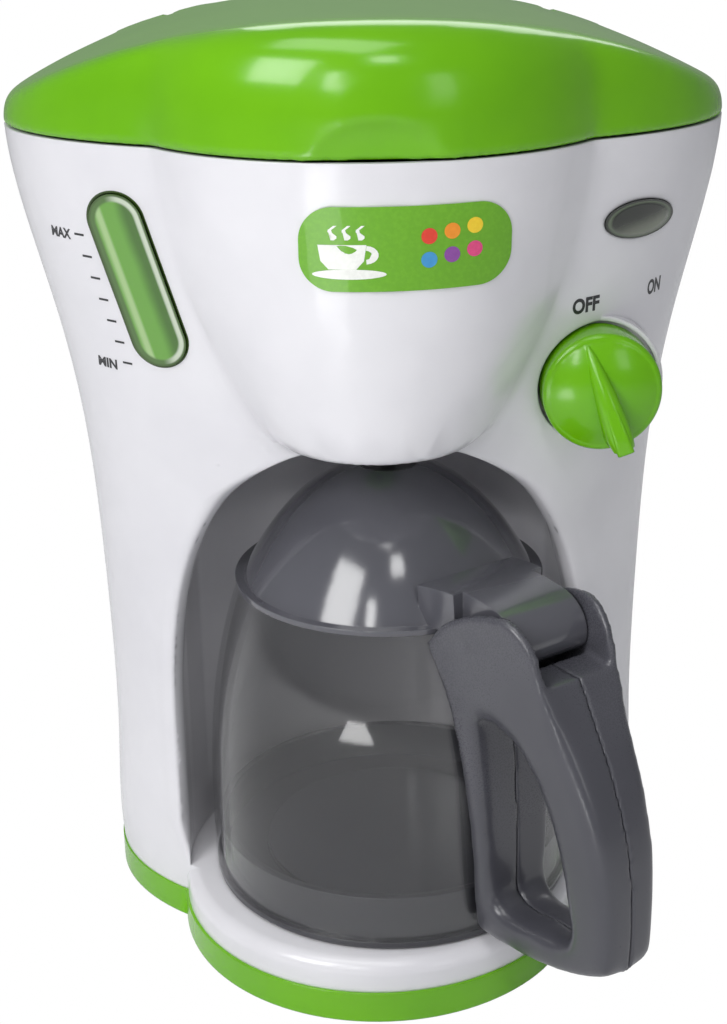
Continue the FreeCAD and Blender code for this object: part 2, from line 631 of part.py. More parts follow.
def top_lid():
    """Green crowned lid over the whole top, with its hinge barrels."""
    block_form = lid_block(0).common(lid_silhouette(0))
    room = lid_block(s.lid_wall).common(lid_silhouette(s.lid_wall))
    room = room.cut(lid_scoop(s.lid_wall))
    lid = block_form.cut([lid_scoop(0), room])
    grooves = []
    share = abs(s.lid_groove_x / s.half_width_top) ** float(s.lid_power)
    z = s.lid_crown_z - (s.lid_crown_z - s.lid_side_z) * share
    for side in (-1, 1):
        x = side * s.lid_groove_x
        grooves.append(prism([V(x - s.lid_groove_half, -FAR, z + 0.6),
                              V(x + s.lid_groove_half, -FAR, z + 0.6),
                              V(x, -FAR, z - s.lid_groove_depth)], V(0, 2 * FAR, 0)))
    lid = lid.cut(grooves)
    barrels = []
    offset = s.hinge_lug_length / 2 + s.free_gap
    for side in (-1, 1):
        for lean in (-1, 1):
            x0 = side * s.hinge_x + (offset if lean > 0 else -offset - s.hinge_barrel_length)
            barrel = rod(s.hinge_barrel_radius, V(x0, s.hinge_y, s.hinge_z), V(1, 0, 0),
                         s.hinge_barrel_length)
            wall_y = s.seam_y + s.back_depth_top - s.lid_wall
            arm = block(x0, x0 + s.hinge_barrel_length, wall_y, s.hinge_y, s.hinge_z,
                        s.hinge_z + s.hinge_barrel_radius)
            barrels.append(barrel.fuse(arm))
    lid = lid.fuse(barrels)
    bore = rod(s.hinge_pin_radius + s.running_gap, V(-90, s.hinge_y, s.hinge_z), V(1, 0, 0), 180)
    return lid.cut(bore)


shaped("front_shell", front_shell())
shaped("rear_shell", rear_shell())
shaped("base_plate", base_plate())
shaped("top_lid", top_lid())


def lid_hinge_pins():
    """A steel pin through each of the lid's two hinges."""
    length = s.hinge_lug_length + 2 * (s.hinge_barrel_length + s.free_gap)
    pins = [rod(s.hinge_pin_radius, V(side * s.hinge_x - length / 2, s.hinge_y, s.hinge_z), V(1, 0, 0),
                length)
            for side in (-1, 1)]
    return Part.makeCompound(pins)


# Deck, tank, outlet and valve
def deck():
    """White deck under the lid with the opening of the tank."""
    slice_box = block(-FAR, FAR, -FAR, FAR, s.deck_z, s.deck_z + s.deck_thick)
    plate = hollow.common(slice_box)
    return plate.cut(tank_room().fuse(tank_room(s.tank_wall).common(slice_box)))


def tank_form(inset):
    """The tank's outside, a little inside the housing's walls."""
    gap = s.housing_wall + s.free_gap + inset
    form = wide_body(gap).fuse(brew_head(-gap))
    rear_y = s.seam_y + s.back_depth_foot - s.tank_back_gap - inset
    return form.common(block(-FAR, s.tank_right_x - inset, -FAR, rear_y, s.tank_floor_z + inset, s.deck_z))


def tank_room(inset=0.0):
    """The tank's room carried up through the deck."""
    gap = s.housing_wall + s.free_gap + s.tank_wall + s.tank_flange - inset
    form = wide_body(gap).fuse(brew_head(-gap))
    rear_y = s.seam_y + s.back_depth_foot - s.tank_back_gap - s.tank_wall + inset
    right = s.tank_right_x - s.tank_wall + inset
    return form.common(block(-FAR, right, -FAR, rear_y, s.deck_z - 10, s.deck_z + 10))


def water_tank():
    """Green water tank with the spout that feeds the outlet."""
    spout = V(0, s.outlet_y, s.spout_bottom_z)
    tank = tank_form(0).cut(tank_form(s.tank_wall))
    tank = tank.cut(block(-FAR, FAR, -FAR, FAR, s.deck_z, FAR))
    tank = tank.fuse(rod(s.spout_radius, spout, UP, s.tank_floor_z + s.tank_wall - s.spout_bottom_z))
    tank = tank.cut(tank_form(s.tank_wall).common(block(-FAR, FAR, -FAR, FAR, s.deck_z - 10, FAR)))
    return tank.cut(rod(s.outlet_bore, spout - UP, UP, 40))


def crank_angle(turn):
    """Angle of the crank pin from straight up, clockwise seen from the front."""
    return math.radians(turn - float(s.crank_travel) / 2)


pin_x = s.knob_x + s.crank_throw * math.sin(crank_angle(0))
pin_z = s.knob_z + s.crank_throw * math.cos(crank_angle(0))
slider_stroke = 2 * s.crank_throw * math.sin(math.radians(float(s.crank_travel) / 2))
slider_back_y = s.slider_front_y + s.slider_thick


def valve_slider():
    """Sliding valve: a gate over the outlet, a bar, and a fork round the crank pin."""
    gate_z = s.spout_bottom_z - s.free_gap - s.gate_thick
    half = s.gate_half_width
    gate = block(-half - slider_stroke, half, s.outlet_y - half, s.outlet_y + half, gate_z,
                 gate_z + s.gate_thick)
    gate = gate.cut(rod(s.outlet_bore, V(-slider_stroke, s.outlet_y, gate_z - 1), UP, 5))
    high = s.knob_z + s.crank_throw + 3
    fork_half = s.crank_pin_radius + s.free_gap + 2
    bar = block(half - 1, pin_x + fork_half, s.slider_front_y, slider_back_y, gate_z, gate_z + 5)
    fork = block(pin_x - fork_half, pin_x + fork_half, s.slider_front_y, slider_back_y, gate_z, high)
    stop = s.crank_pin_radius + s.free_gap
    slot = block(pin_x - stop, pin_x + stop, -FAR, FAR, gate_z + 3, FAR)
    side = s.lever_side / 2
    lever_hole = block(s.switch_x - side, s.switch_x + side, -FAR, FAR, gate_z + 1.3,
                       gate_z + 1.3 + s.lever_side)
    return gate.fuse([bar, fork]).cut([slot, lever_hole])


def drip_nozzle():
    """Green outlet nozzle that hangs through the bay's ceiling."""
    seat = s.bay_top_z + s.housing_wall
    top = s.spout_bottom_z - 2 * s.free_gap - s.gate_thick
    stem = rod(s.nozzle_radius, V(0, s.outlet_y, s.nozzle_bottom_z), UP, seat - s.nozzle_bottom_z)
    collar = rod(s.nozzle_flange_radius, V(0, s.outlet_y, seat), UP, s.nozzle_flange_thick)
    neck = rod(s.nozzle_radius, V(0, s.outlet_y, seat), UP, top - seat)
    nozzle = stem.fuse([collar, neck])
    rim = edges_in(nozzle, (-FAR, -FAR, s.nozzle_bottom_z - 0.1), (FAR, FAR, s.nozzle_bottom_z + 0.1))
    nozzle = nozzle.makeFillet(1.2, rim)
    return nozzle.cut(rod(s.outlet_bore, V(0, s.outlet_y, 0), UP, FAR))


def knob():
    """Green knob: a crowned cup with a pointer blade and a stem through the housing."""
    depth = s.knob_back_y - s.knob_face_y
    wire = Part.Wire([
        Part.makeLine(V(0, 0, 0), V(s.knob_radius, 0, 0)),
        Part.makeLine(V(s.knob_radius, 0, 0), V(s.knob_radius, 0, depth - s.knob_edge_radius)),
        quarter(V(s.knob_radius, 0, depth - s.knob_edge_radius), V(s.knob_radius, 0, depth),
                V(s.knob_radius - s.knob_edge_radius, 0, depth)),
        Part.Arc(V(s.knob_radius - s.knob_edge_radius, 0, depth),
                 V(s.knob_radius / 2, 0, depth + s.knob_crown * 0.78),
                 V(0, 0, depth + s.knob_crown)).toShape(),
        Part.makeLine(V(0, 0, depth + s.knob_crown), V(0, 0, 0))])
    cup = Part.Face(wire).revolve(V(0, 0, 0), UP, 360)
    room = rod(s.knob_radius - s.knob_wall, V(0, 0, -1), UP, depth - s.knob_wall + 1)
    cup = cup.cut(room)
    stem_end = s.well_floor_y + s.housing_wall + 0.9
    cup = cup.fuse(rod(s.stem_radius, V(0, 0, s.knob_back_y - stem_end), UP, stem_end - s.knob_face_y))
    cup = cup.cut(rod(1.2, V(0, 0, s.knob_back_y - stem_end - 1), UP, 10))
    base = depth + s.knob_crown
    half, tip = s.blade_thick / 2, s.blade_tip_thick / 2
    foot = prism([V(-half, -s.blade_end, depth - 1), V(half, -s.blade_end, depth - 1),
                  V(tip, s.blade_tip, depth - 1), V(-tip, s.blade_tip, depth - 1)], V(0, 0, 40))
    profile = Part.BSplineCurve()
    profile.interpolate([V(-30, s.blade_tip + 0.2, depth + 0.2),
                         V(-30, s.blade_tip * 0.5, depth + s.blade_rise * 0.35),
                         V(-30, 0, depth + s.blade_rise * 0.68),
                         V(-30, -s.blade_end * 0.5, depth + s.blade_rise * 0.93),
                         V(-30, -s.blade_end, depth + s.blade_rise)])
    ends = [V(-30, s.blade_tip + 0.2, depth + 0.2), V(-30, -s.blade_end, depth + s.blade_rise)]
    low = [V(-30, -s.blade_end, depth - 1.2), V(-30, s.blade_tip + 0.2, depth - 1.2)]
    face = Part.Face(Part.Wire([profile.toShape(), Part.makeLine(ends[1], low[0]),
                                Part.makeLine(low[0], low[1]),
                                Part.makeLine(low[1], ends[0])]))
    blade = foot.common(face.extrude(V(60, 0, 0))).common(rod(s.blade_end + 0.3, V(0, 0, 0), UP, base + 40))
    top = [e for e in blade.Edges
           if e.BoundBox.ZMax > depth + 0.5 and e.BoundBox.YMax - e.BoundBox.YMin > 15]
    blade = blade.makeFillet(0.8, top)
    cup = cup.fuse(blade)
    return cup


def knob_crank():
    """Crank on the knob's stem behind the wall, with the pin that drives the valve."""
    front = s.well_floor_y + s.housing_wall + 0.9
    disc = rod(s.crank_disc_radius, KNOB_AXIS + V(0, front, 0), BACK, s.crank_disc_thick - 1.2)
    pin = rod(s.crank_pin_radius, V(pin_x, front, pin_z), BACK, slider_back_y + 0.6 - front)
    return disc.fuse(pin).cut(rod(1.3, KNOB_AXIS + V(0, -60, 0), BACK, 120))


def knob_screw():
    """Screw that holds the crank on the stem."""
    front = s.well_floor_y + s.housing_wall + 0.9 + s.crank_disc_thick - 1.2
    head = rod(2.4, KNOB_AXIS + V(0, front, 0), BACK, 1.2)
    return head.fuse(rod(1.1, KNOB_AXIS + V(0, front, 0), FRONT, 8)).removeSplitter()


shaped("lid_hinge_pins", lid_hinge_pins())
shaped("top_deck", deck())
shaped("water_tank", water_tank())
shaped("valve_slider", valve_slider())
shaped("drip_nozzle", drip_nozzle())
knob_turn = FreeCAD.Rotation(BACK, -float(s.knob_rest_angle)).multiply(FreeCAD.Rotation(V(1, 0, 0), 90))
shaped("knob", knob(), FreeCAD.Placement(V(s.knob_x, s.knob_back_y, s.knob_z), knob_turn))
shaped("knob_crank", knob_crank())
shaped("knob_screw", knob_screw())


# The jug, in its own frame: Z is its axis, +X runs out to the handle
JUG = FreeCAD.Placement(V(s.jug_x, s.jug_y, 0), FreeCAD.Rotation(UP, float(s.handle_turn) - 90))


def glass_radius(z):
    """Radius of the glass at a height."""
    if z < s.jug_wide_z:
        return float(s.jug_radius)
    share = (z - s.jug_wide_z) / (s.jug_rim_z - s.jug_wide_z)
    return float(s.jug_radius) - (s.jug_radius - s.jug_rim_radius) * share ** float(s.jug_curve)


def glass_wire(inset, low, high):
    """The glass's side curve between two heights as an edge, with its end points."""
    heights = [low, s.jug_wide_z * 0.85] + [s.jug_wide_z + (high - s.jug_wide_z) * i / 7 for i in range(8)]
    points = [V(glass_radius(z) - inset, 0, z) for z in heights]
    curve = Part.BSplineCurve()
    curve.interpolate(points)
    return curve.toShape(), points[0], points[-1]


def glass_solid(inset, low, high):
    """The room inside the glass's side curve as a solid."""
    edge, start, end = glass_wire(inset, low, high)
    wire = Part.Wire([edge, Part.makeLine(end, V(0, 0, end.z)),
                      Part.makeLine(V(0, 0, end.z), V(0, 0, start.z)),
                      Part.makeLine(V(0, 0, start.z), start)])
    return Part.Face(wire).revolve(V(0, 0, 0), UP, 360)


def jug_glass():
    """Clear jug body, open at its foot and at its rim."""
    outer, outer_low, outer_high = glass_wire(0, s.glass_bottom_z, s.jug_rim_z)
    inner, inner_low, inner_high = glass_wire(s.glass_wall, s.glass_bottom_z, s.jug_rim_z)
    wire = Part.Wire([outer, Part.makeLine(outer_high, inner_high), inner.reversed(),
                      Part.makeLine(inner_low, outer_low)])
    return Part.Face(wire).revolve(V(0, 0, 0), UP, 360)


def jug_base():
    """Grey cup that closes the jug's bottom from inside."""
    low = s.bay_floor_z + s.free_gap
    outside = s.jug_radius - s.glass_wall - s.running_gap
    cup = revolve([(0, low), (s.cup_flange_radius, low), (s.cup_flange_radius, s.cup_flange_top_z),
                   (outside, s.cup_flange_top_z), (outside, s.cup_rim_z),
                   (outside - s.cup_wall, s.cup_rim_z),
                   (outside - s.cup_wall, s.cup_flange_top_z + s.cup_floor),
                   (s.cup_step_radius, s.cup_flange_top_z + s.cup_floor),
                   (s.cup_step_radius, s.cup_flange_top_z + s.cup_floor + s.cup_step_height),
                   (0, s.cup_flange_top_z + s.cup_floor + s.cup_step_height)])
    rim = edges_in(cup, (-FAR, -FAR, low - 0.1), (FAR, FAR, low + 0.1), 100)
    return cup.makeFillet(float(s.cup_edge_radius), rim)


def wedge(inset):
    """The handle's width: wide at the glass and at the top, narrow at its back and foot."""
    rings = []
    for z, root, tip in ((0.0, s.handle_root_half, s.handle_tip_half),
                         (120.0, s.handle_root_top_half, s.handle_tip_top_half)):
        slope = (root - tip) / 60.0
        near, far = root + slope * 20 - inset, tip - slope * 10 - inset
        rings.append(Part.makePolygon([V(20, -near, z), V(110, -far, z), V(110, far, z), V(20, near, z),
                                       V(20, -near, z)]))
    return Part.makeLoft(rings, True, True)


def spline(points):
    """A smooth edge through points of radius and height in the handle's plane."""
    curve = Part.BSplineCurve()
    curve.interpolate([V(r, 0, z) for r, z in points])
    return curve.toShape()


CHEEK_TOP = [(36.0, 101.5), (38.8, 103.6), (43.3, 108.8), (47.9, 112.4), (56.5, 116.5), (62.1, 118.1),
             (67.5, 118.4), (73.0, 115.2), (76.4, 110.2), (78.5, 104.0)]
SPINE = [(78.5, 104.0), (86.9, 89.7), (95.0, 73.4), (98.6, 60.0), (99.8, 46.0), (99.6, 34.6)]
UNDERSIDE = [(99.6, 34.6), (98.3, 32.2), (95.6, 30.6), (90.3, 28.0), (81.4, 24.8), (65.0, 21.9),
             (36.0, 21.2)]
FINGER_GAP = [(54.2, 86.0), (60.8, 88.3), (66.1, 86.4), (73.2, 79.5), (78.6, 70.5), (82.6, 58.7),
              (85.1, 45.0),
              (85.6, 37.6), (82.6, 34.6), (72.7, 33.0), (60.8, 31.6), (57.4, 33.4), (56.6, 38.0),
              (55.9, 60.0),
              (54.6, 78.0), (54.2, 86.0)]
GRIP_ROOM = [(77.0, 99.0), (84.5, 87.5), (92.3, 71.5), (95.8, 58.5), (96.8, 46.0), (96.4, 38.0),
             (89.0, 38.0),
             (88.4, 47.0), (85.8, 60.0), (81.6, 72.0), (75.6, 81.8), (71.0, 87.0)]
SCREW_SPOTS = [(71.0, 96.5), (90.5, 34.5)]


def handle_face():
    """Side view of the handle with its finger gap."""
    root = Part.makeLine(V(36.0, 0, 21.2), V(36.0, 0, 101.5))
    outline = Part.Face(Part.Wire([spline(CHEEK_TOP), spline(SPINE), spline(UNDERSIDE), root]))
    gap = Part.Face(Part.Wire([spline(FINGER_GAP)]))
    return outline.cut(gap).Faces[0]


def lever_room(inset):
    """The slot between the cheeks, with room below the lever for its swing."""
    pivot = V(s.lever_pivot_r, -60, s.lever_pivot_z)
    swing = s.lever_nose_r - s.lever_pivot_r + 1.2
    slot = block(20, 90, -60, 60, s.slot_floor_z, 130)
    slot = slot.fuse(rod(swing, pivot, BACK, 120).common(block(20, 90, -60, 60, 60, 130)))
    return slot.common(wedge(s.cheek_thick + inset))


def handle_whole():
    """The handle before it is split into its two halves."""
    solid = handle_face().extrude(V(0, 60, 0))
    solid.translate(V(0, -30, 0))
    solid = solid.common(wedge(0)).Solids[0]
    room = prism([V(r, -30, z) for r, z in GRIP_ROOM], V(0, 60, 0))
    room = room.common(wedge(s.handle_wall))
    keep = [lever_room(-s.cheek_thick)]
    keep += [rod(s.boss_radius, V(r, -40, z), BACK, 80) for r, z in SCREW_SPOTS]
    keep.append(revolve([(0, 10), (54.5, 10), (54.5, 120), (0, 120)]))
    room = room.cut(keep)
    pin = rod(s.lever_pin_radius, V(s.lever_pivot_r, -60, s.lever_pivot_z), BACK, 120)
    glass = glass_solid(-s.running_gap, 10, s.jug_rim_z).fuse(
        rod(s.dome_flange_radius + s.free_gap + 0.6, V(0, 0, s.jug_rim_z - 1), UP, 4))
    dome = dome_form(-0.8)
    return solid.cut([room, lever_room(0), pin, glass, dome])


def dome_form(inset):
    """The lid's dome as a solid."""
    points = []
    low = s.jug_rim_z + s.free_gap
    centre = s.dome_apex_z - s.dome_rise
    apex = s.dome_apex_z - inset
    steps = 10
    for i in range(steps + 1):
        angle = math.asin((low - centre) / s.dome_rise) * (1 - i / steps) + math.pi / 2 * i / steps
        points.append(V((s.dome_radius - inset) * math.cos(angle), 0,
                        centre + (s.dome_rise - inset) * math.sin(angle)))
    points[-1].x = 0
    curve = Part.BSplineCurve()
    curve.interpolate(points)
    start = points[0]
    wire = Part.Wire([curve.toShape(), Part.makeLine(V(0, 0, apex), V(0, 0, start.z)),
                      Part.makeLine(V(0, 0, start.z), start)])
    return Part.Face(wire).revolve(V(0, 0, 0), UP, 360)


def jug_lid():
    """Grey dome with a round recess on top and the thumb lever that swings it."""
    low = s.jug_rim_z + s.free_gap
    dome = dome_form(0).fuse(rod(s.dome_flange_radius, V(0, 0, low), UP, s.dome_flange))
    room = dome_form(s.dome_wall).common(block(-60, 60, -60, 60, low - 1, 200))
    room = room.cut(rod(s.recess_radius + s.dome_wall, V(0, 0,
                                                         s.dome_apex_z - s.recess_depth - s.dome_wall), UP,
                                                         20))
    room = room.fuse(rod(s.dome_radius - 17, V(0, 0, low - 1), UP, 1.5))
    recess = rod(s.recess_radius, V(0, 0, s.dome_apex_z - s.recess_depth), UP, 20)
    lever = spline([(34.0, 117.2), (45.0, 118.6), (56.0, s.lever_top_z), (63.5, 116.6), (67.6, 112.2),
                    (68.0, 107.0),
                    (66.0, 104.4)])
    end, start = V(66.0, 0, 104.4), V(34.0, 0, 117.2)
    foot = V(34.0, 0, low + s.dome_flange)
    near = V(44.5, 0, low + s.dome_flange)
    face = Part.Face(Part.Wire([lever, Part.makeLine(end, V(48.0, 0, 104.4)),
                                Part.makeLine(V(48.0, 0, 104.4), near),
                                Part.makeLine(near, foot), Part.makeLine(foot, start)]))
    solid = face.extrude(V(0, 60, 0))
    solid.translate(V(0, -30, 0))
    solid = solid.common(wedge(s.cheek_thick + s.free_gap))
    narrow = block(s.lever_neck_r, FAR, -s.lever_half, s.lever_half, 0, 200)
    solid = solid.common(narrow.fuse(block(0, s.lever_neck_r, -60, 60, 0, 200)))
    lid = dome.fuse(solid.cut(dome_form(s.dome_wall / 2))).cut([room, recess])
    bore = rod(s.lever_pin_radius + s.running_gap, V(s.lever_pivot_r, -60, s.lever_pivot_z), BACK, 120)
    bead = Part.makeSphere(float(s.lid_nub_radius), V(-s.dome_flange_radius, 0, low + s.lid_nub_radius))
    return lid.fuse(bead).cut([bore, rod(s.jug_rim_radius - s.glass_wall, V(0, 0, low - 5), UP, 5.2)])


def jug_hinge_pin():
    """Pin through the handle's cheeks and the lid's lever."""
    share = (s.lever_pivot_r - 40) / 60.0
    lift = s.lever_pivot_z / 120.0
    root = s.handle_root_half + (s.handle_root_top_half - s.handle_root_half) * lift
    tip = s.handle_tip_half + (s.handle_tip_top_half - s.handle_tip_half) * lift
    half = root + (tip - root) * share - 0.3
    return rod(s.lever_pin_radius, V(s.lever_pivot_r, -half, s.lever_pivot_z), BACK, 2 * half)


def lid_vent():
    """Dark disc with a nub in the recess of the jug's lid."""
    floor = s.dome_apex_z - s.recess_depth
    disc = rod(s.recess_radius - s.running_gap, V(0, 0, floor), UP, s.vent_disc)
    nub = rod(s.vent_nub_radius, V(0, 0, floor), UP, s.vent_disc + s.vent_nub_height)
    vent = disc.fuse(nub).removeSplitter()
    top = edges_in(vent, (-FAR, -FAR, floor + s.vent_disc + 1), (FAR, FAR, FAR), 5)
    return vent.makeFillet(1.2, top)


handle = handle_whole()
spots = [V(r, 0, z) for r, z in SCREW_SPOTS]
HEAD_DEPTH = 4.2
near_half = handle.common(block(0, 120, -60, 0, 0, 140))
far_half = handle.common(block(0, 120, 0, 60, 0, 140))
near_half = near_half.cut([rod(s.handle_screw_radius, spot, FRONT, 4.5) for spot in spots])
far_half = far_half.cut([rod(s.handle_screw_radius + s.running_gap, spot - V(0, 1, 0), BACK,
                             40) for spot in spots])
far_half = far_half.cut([rod(s.screw_head_radius + s.free_gap,
                             spot + V(0, HEAD_DEPTH - s.screw_head_thick, 0), BACK, 40)
                         for spot in spots])


def handle_screws():
    """Two screws that join the handle's halves."""
    solids = []
    for spot in spots:
        head = rod(s.screw_head_radius, spot + V(0, HEAD_DEPTH - s.screw_head_thick, 0), BACK,
                   s.screw_head_thick)
        solids.append(head.fuse(rod(s.handle_screw_radius, spot + V(0, HEAD_DEPTH - s.screw_head_thick, 0),
                                    FRONT, 6))
                      .removeSplitter())
    return Part.makeCompound(solids)


shaped("jug_glass", jug_glass(), JUG)
shaped("jug_base", jug_base(), JUG)
shaped("jug_handle_left", near_half, JUG)
shaped("jug_handle_right", far_half, JUG)
shaped("jug_handle_screws", handle_screws(), JUG)
shaped("jug_lid", jug_lid(), JUG)
shaped("jug_lid_vent", lid_vent(), JUG)
shaped("jug_hinge_pin", jug_hinge_pin(), JUG)


# Windows and label
def gauge_lens():
    """Clear bulging window of the water level gauge."""
    proud = wide_body(-s.lens_proud)
    behind = wide_body(s.housing_wall + 0.0)
    return stadium(s.gauge_radius, -60, 10).common(proud).cut(behind)


def indicator_lens():
    """Dark oval lens over the lamp."""
    proud = wide_body(-s.lens_proud)
    behind = wide_body(s.housing_wall)
    return lamp_oval(0, -40, -8).common(proud).cut(behind)


def front_label():
    """Thin label on the brew head."""
    half, rise, corner = s.label_half_width, s.label_half_height, s.label_corner
    sheet_form = block(s.label_x - half, s.label_x + half, -FAR, 0, s.label_z - rise, s.label_z + rise)
    along_y = [e for e in sheet_form.Edges if e.BoundBox.YMax - e.BoundBox.YMin > 100]
    sheet_form = sheet_form.makeFillet(float(corner), along_y)
    return sheet_form.common(brew_head(s.label_thick)).cut(brew_head()).cut(block(-FAR, FAR, -30, FAR, 0,
                                                                                  FAR))


shaped("gauge_lens", gauge_lens())
shaped("indicator_lens", indicator_lens())
shaped("front_label", front_label())

# Electronics
board_corner = V(s.board_x - s.board_width / 2, s.board_y + s.board_thick, s.board_z - s.board_height / 2)
board = slab("board_blank", s.board_width, s.board_height, s.board_thick,
             FreeCAD.Placement(board_corner, FreeCAD.Rotation(V(1, 0, 0), 90)))
doc.recompute()
holes = doc.addObject("Part::Feature", "board_holes")
holes.Shape = Part.makeCompound([rod(s.board_screw_radius + s.running_gap, place - V(0, 5, 0), BACK, 12)
                                 for place in board_screw_places])
drilled = doc.addObject("Part::Cut", "drilled_board")
drilled.Base = board
drilled.Tool = holes
add_piece(drilled, "circuit_board")

chip_back = s.board_y + s.board_thick
chip = slab("board_chip", s.chip_side, s.chip_side, s.chip_thick,
            FreeCAD.Placement(V(s.board_x, chip_back + s.chip_thick, s.board_z - s.chip_side),
                              FreeCAD.Rotation(V(1, 0, 0), 90)))
add_piece(chip, "board_chip")

led = turned("indicator_led", [(ZERO, ZERO), (s.led_radius + 0.4, ZERO), (s.led_radius + 0.4, Size(1.0)),
                               (s.led_radius, Size(1.0)), (s.led_radius, s.led_length),
                               (ZERO, s.led_length)],
             at(s.lamp_x, s.board_y, s.lamp_z, FRONT))
add_piece(led, "indicator_led")


def board_screws():
    """Two small screws that hold the board to its posts."""
    solids = []
    for place in board_screw_places:
        start = place + V(0, s.board_thick, 0)
        head = rod(2.0, start, BACK, 1.2)
        solids.append(head.fuse(rod(s.board_screw_radius, start, FRONT, 6)).removeSplitter())
    return Part.makeCompound(solids)


shaped("board_screws", board_screws())

switch_low = s.knob_z - s.switch_height / 2
lever_low = s.spout_bottom_z - s.free_gap - s.gate_thick + 1.3


def power_switch():
    """Slide switch body on its posts behind the valve bar."""
    x0 = s.switch_x - s.switch_width / 2
    body = block(x0, x0 + s.switch_width, s.switch_y, s.switch_y + s.switch_depth, switch_low,
                 switch_low + s.switch_height)
    side = s.lever_side / 2 + s.free_gap
    slot = block(s.switch_x - side, s.switch_x + side + slider_stroke, s.switch_y - 1, s.switch_y + 3,
                 lever_low - s.free_gap, lever_low + s.lever_side + s.free_gap)
    return body.cut(slot)


def switch_lever():
    """Lever of the slide switch, held in the valve bar."""
    side = s.lever_side / 2
    return block(s.switch_x - side, s.switch_x + side, s.slider_front_y, s.switch_y + 2.4, lever_low,
                 lever_low + s.lever_side)


shaped("power_switch", power_switch())
shaped("switch_lever", switch_lever())

# Speaker on the rear wall
speaker_y = s.seam_y + s.back_depth_foot - s.housing_wall - s.free_gap
frame = turned("speaker_frame", [
    (s.cone_radius, ZERO), (s.speaker_radius, ZERO), (s.speaker_radius, s.speaker_depth),
    (s.magnet_radius + 0.5, s.speaker_depth), (s.magnet_radius + 0.5, s.speaker_depth - 1.2),
    (s.cone_radius, s.speaker_depth - 1.2)],
    at(0, speaker_y, s.speaker_z, FRONT))
add_piece(frame, "speaker_frame")
cone = turned("speaker_cone", [
    (ZERO, Size(1.4)), (Size(5.0), Size(1.4)), (s.cone_radius, Size(0.4)), (s.cone_radius, Size(0.9)),
    (Size(5.0), Size(1.9)), (ZERO, Size(1.9))], at(0, speaker_y, s.speaker_z, FRONT))
add_piece(cone, "speaker_cone")
magnet = turned("speaker_magnet", [
    (ZERO, s.speaker_depth - 1.6), (s.magnet_radius, s.speaker_depth - 1.6),
    (s.magnet_radius, s.speaker_depth + s.magnet_depth), (ZERO, s.speaker_depth + s.magnet_depth)],
    at(0, speaker_y, s.speaker_z, FRONT))
add_piece(magnet, "speaker_magnet")

# Batteries behind the door
box_back_y = s.seam_y + s.back_depth_foot - s.door_thick - s.free_gap
box_depth = 2 * s.cell_radius + s.box_wall + 0.6
box_half = s.cell_pitch + s.cell_radius + s.box_wall + 0.4
box_length = s.cell_length + s.spring_room + 2 * s.box_wall + 1.0
cell_y = box_back_y - s.cell_radius - 0.3
cell_z = s.box_z + s.box_wall + 0.6


def battery_box():
    """Open box for three small cells, with ribs between them and a flange that meets the rear wall."""
    front_y = box_back_y - box_depth
    box = block(-box_half, box_half, front_y, box_back_y, s.box_z, s.box_z + box_length)
    room = block(-box_half + s.box_wall, box_half - s.box_wall, front_y + s.box_wall, FAR,
                 s.box_z + s.box_wall, s.box_z + box_length - s.box_wall)
    lip = s.door_half_width + 3
    wall_in = s.seam_y + s.back_depth_foot - s.housing_wall - s.free_gap
    flange = block(-lip, lip, wall_in - 1.6, wall_in, s.door_low_z - 3, s.door_high_z + 3)
    flange = flange.cut(block(-box_half + s.box_wall, box_half - s.box_wall, 0, FAR, s.box_z + s.box_wall,
                              s.box_z + box_length - s.box_wall))
    boss = rod(s.screw_head_radius + 1.0, V(0, wall_in - 8, door_screw_z), BACK, 8)
    ribs = [block(x - 0.3, x + 0.3, front_y, front_y + 4, s.box_z, s.box_z + box_length)
            for x in (-s.cell_pitch / 2, s.cell_pitch / 2)]
    bore = rod(s.screw_radius, V(0, wall_in - 9, door_screw_z), BACK, 20)
    return box.cut(room).fuse([flange, boss] + ribs).cut(bore)


door_screw_z = (s.box_z + box_length + s.door_high_z) / 2


def battery_cells():
    """Three small round cells."""
    solids = []
    for place in (-1, 0, 1):
        up = place != 0
        x = place * s.cell_pitch
        can = rod(s.cell_radius, V(x, cell_y, cell_z + (s.spring_room if up else 0) * 1.0), UP,
                  s.cell_length - 1)
        nub_z = cell_z + s.spring_room + s.cell_length - 1 if up else cell_z - 1
        if not up:
            can = rod(s.cell_radius, V(x, cell_y, cell_z + 1), UP, s.cell_length - 1)
            nub_z = cell_z
        solids.append(can.fuse(rod(1.9, V(x, cell_y, nub_z), UP, 1.0)).removeSplitter())
    return Part.makeCompound(solids)


def battery_contacts():
    """Contact plates at the two ends of the box."""
    low = s.box_z + s.box_wall
    high = s.box_z + box_length - s.box_wall - s.contact_thick
    plates = []
    for x in (-s.cell_pitch, 0, s.cell_pitch):
        for z in (low, high):
            plates.append(block(x - 4, x + 4, cell_y - 4, cell_y + 4, z, z + s.contact_thick))
    return Part.makeCompound(plates)


def battery_springs():
    """Coil springs that press the cells, each one solid."""
    springs = []
    for place in (-1, 0, 1):
        up = place != 0
        x = place * s.cell_pitch
        low = s.box_z + s.box_wall + s.contact_thick + s.wire_radius
        high = cell_z + s.spring_room - s.wire_radius - 0.1
        if not up:
            low = cell_z + s.cell_length + s.wire_radius + 0.1
            high = s.box_z + box_length - s.box_wall - s.contact_thick - s.wire_radius
        length = high - low
        helix = Part.makeHelix(length / 3, length, 2.6)
        section = Part.Wire([Part.Circle(V(2.6, 0, 0), V(0, 1, 0), float(s.wire_radius)).toShape()])
        coil = Part.Wire(helix).makePipeShell([section], True, True)
        coil.translate(V(x, cell_y, low))
        springs.append(coil)
    return Part.makeCompound(springs)


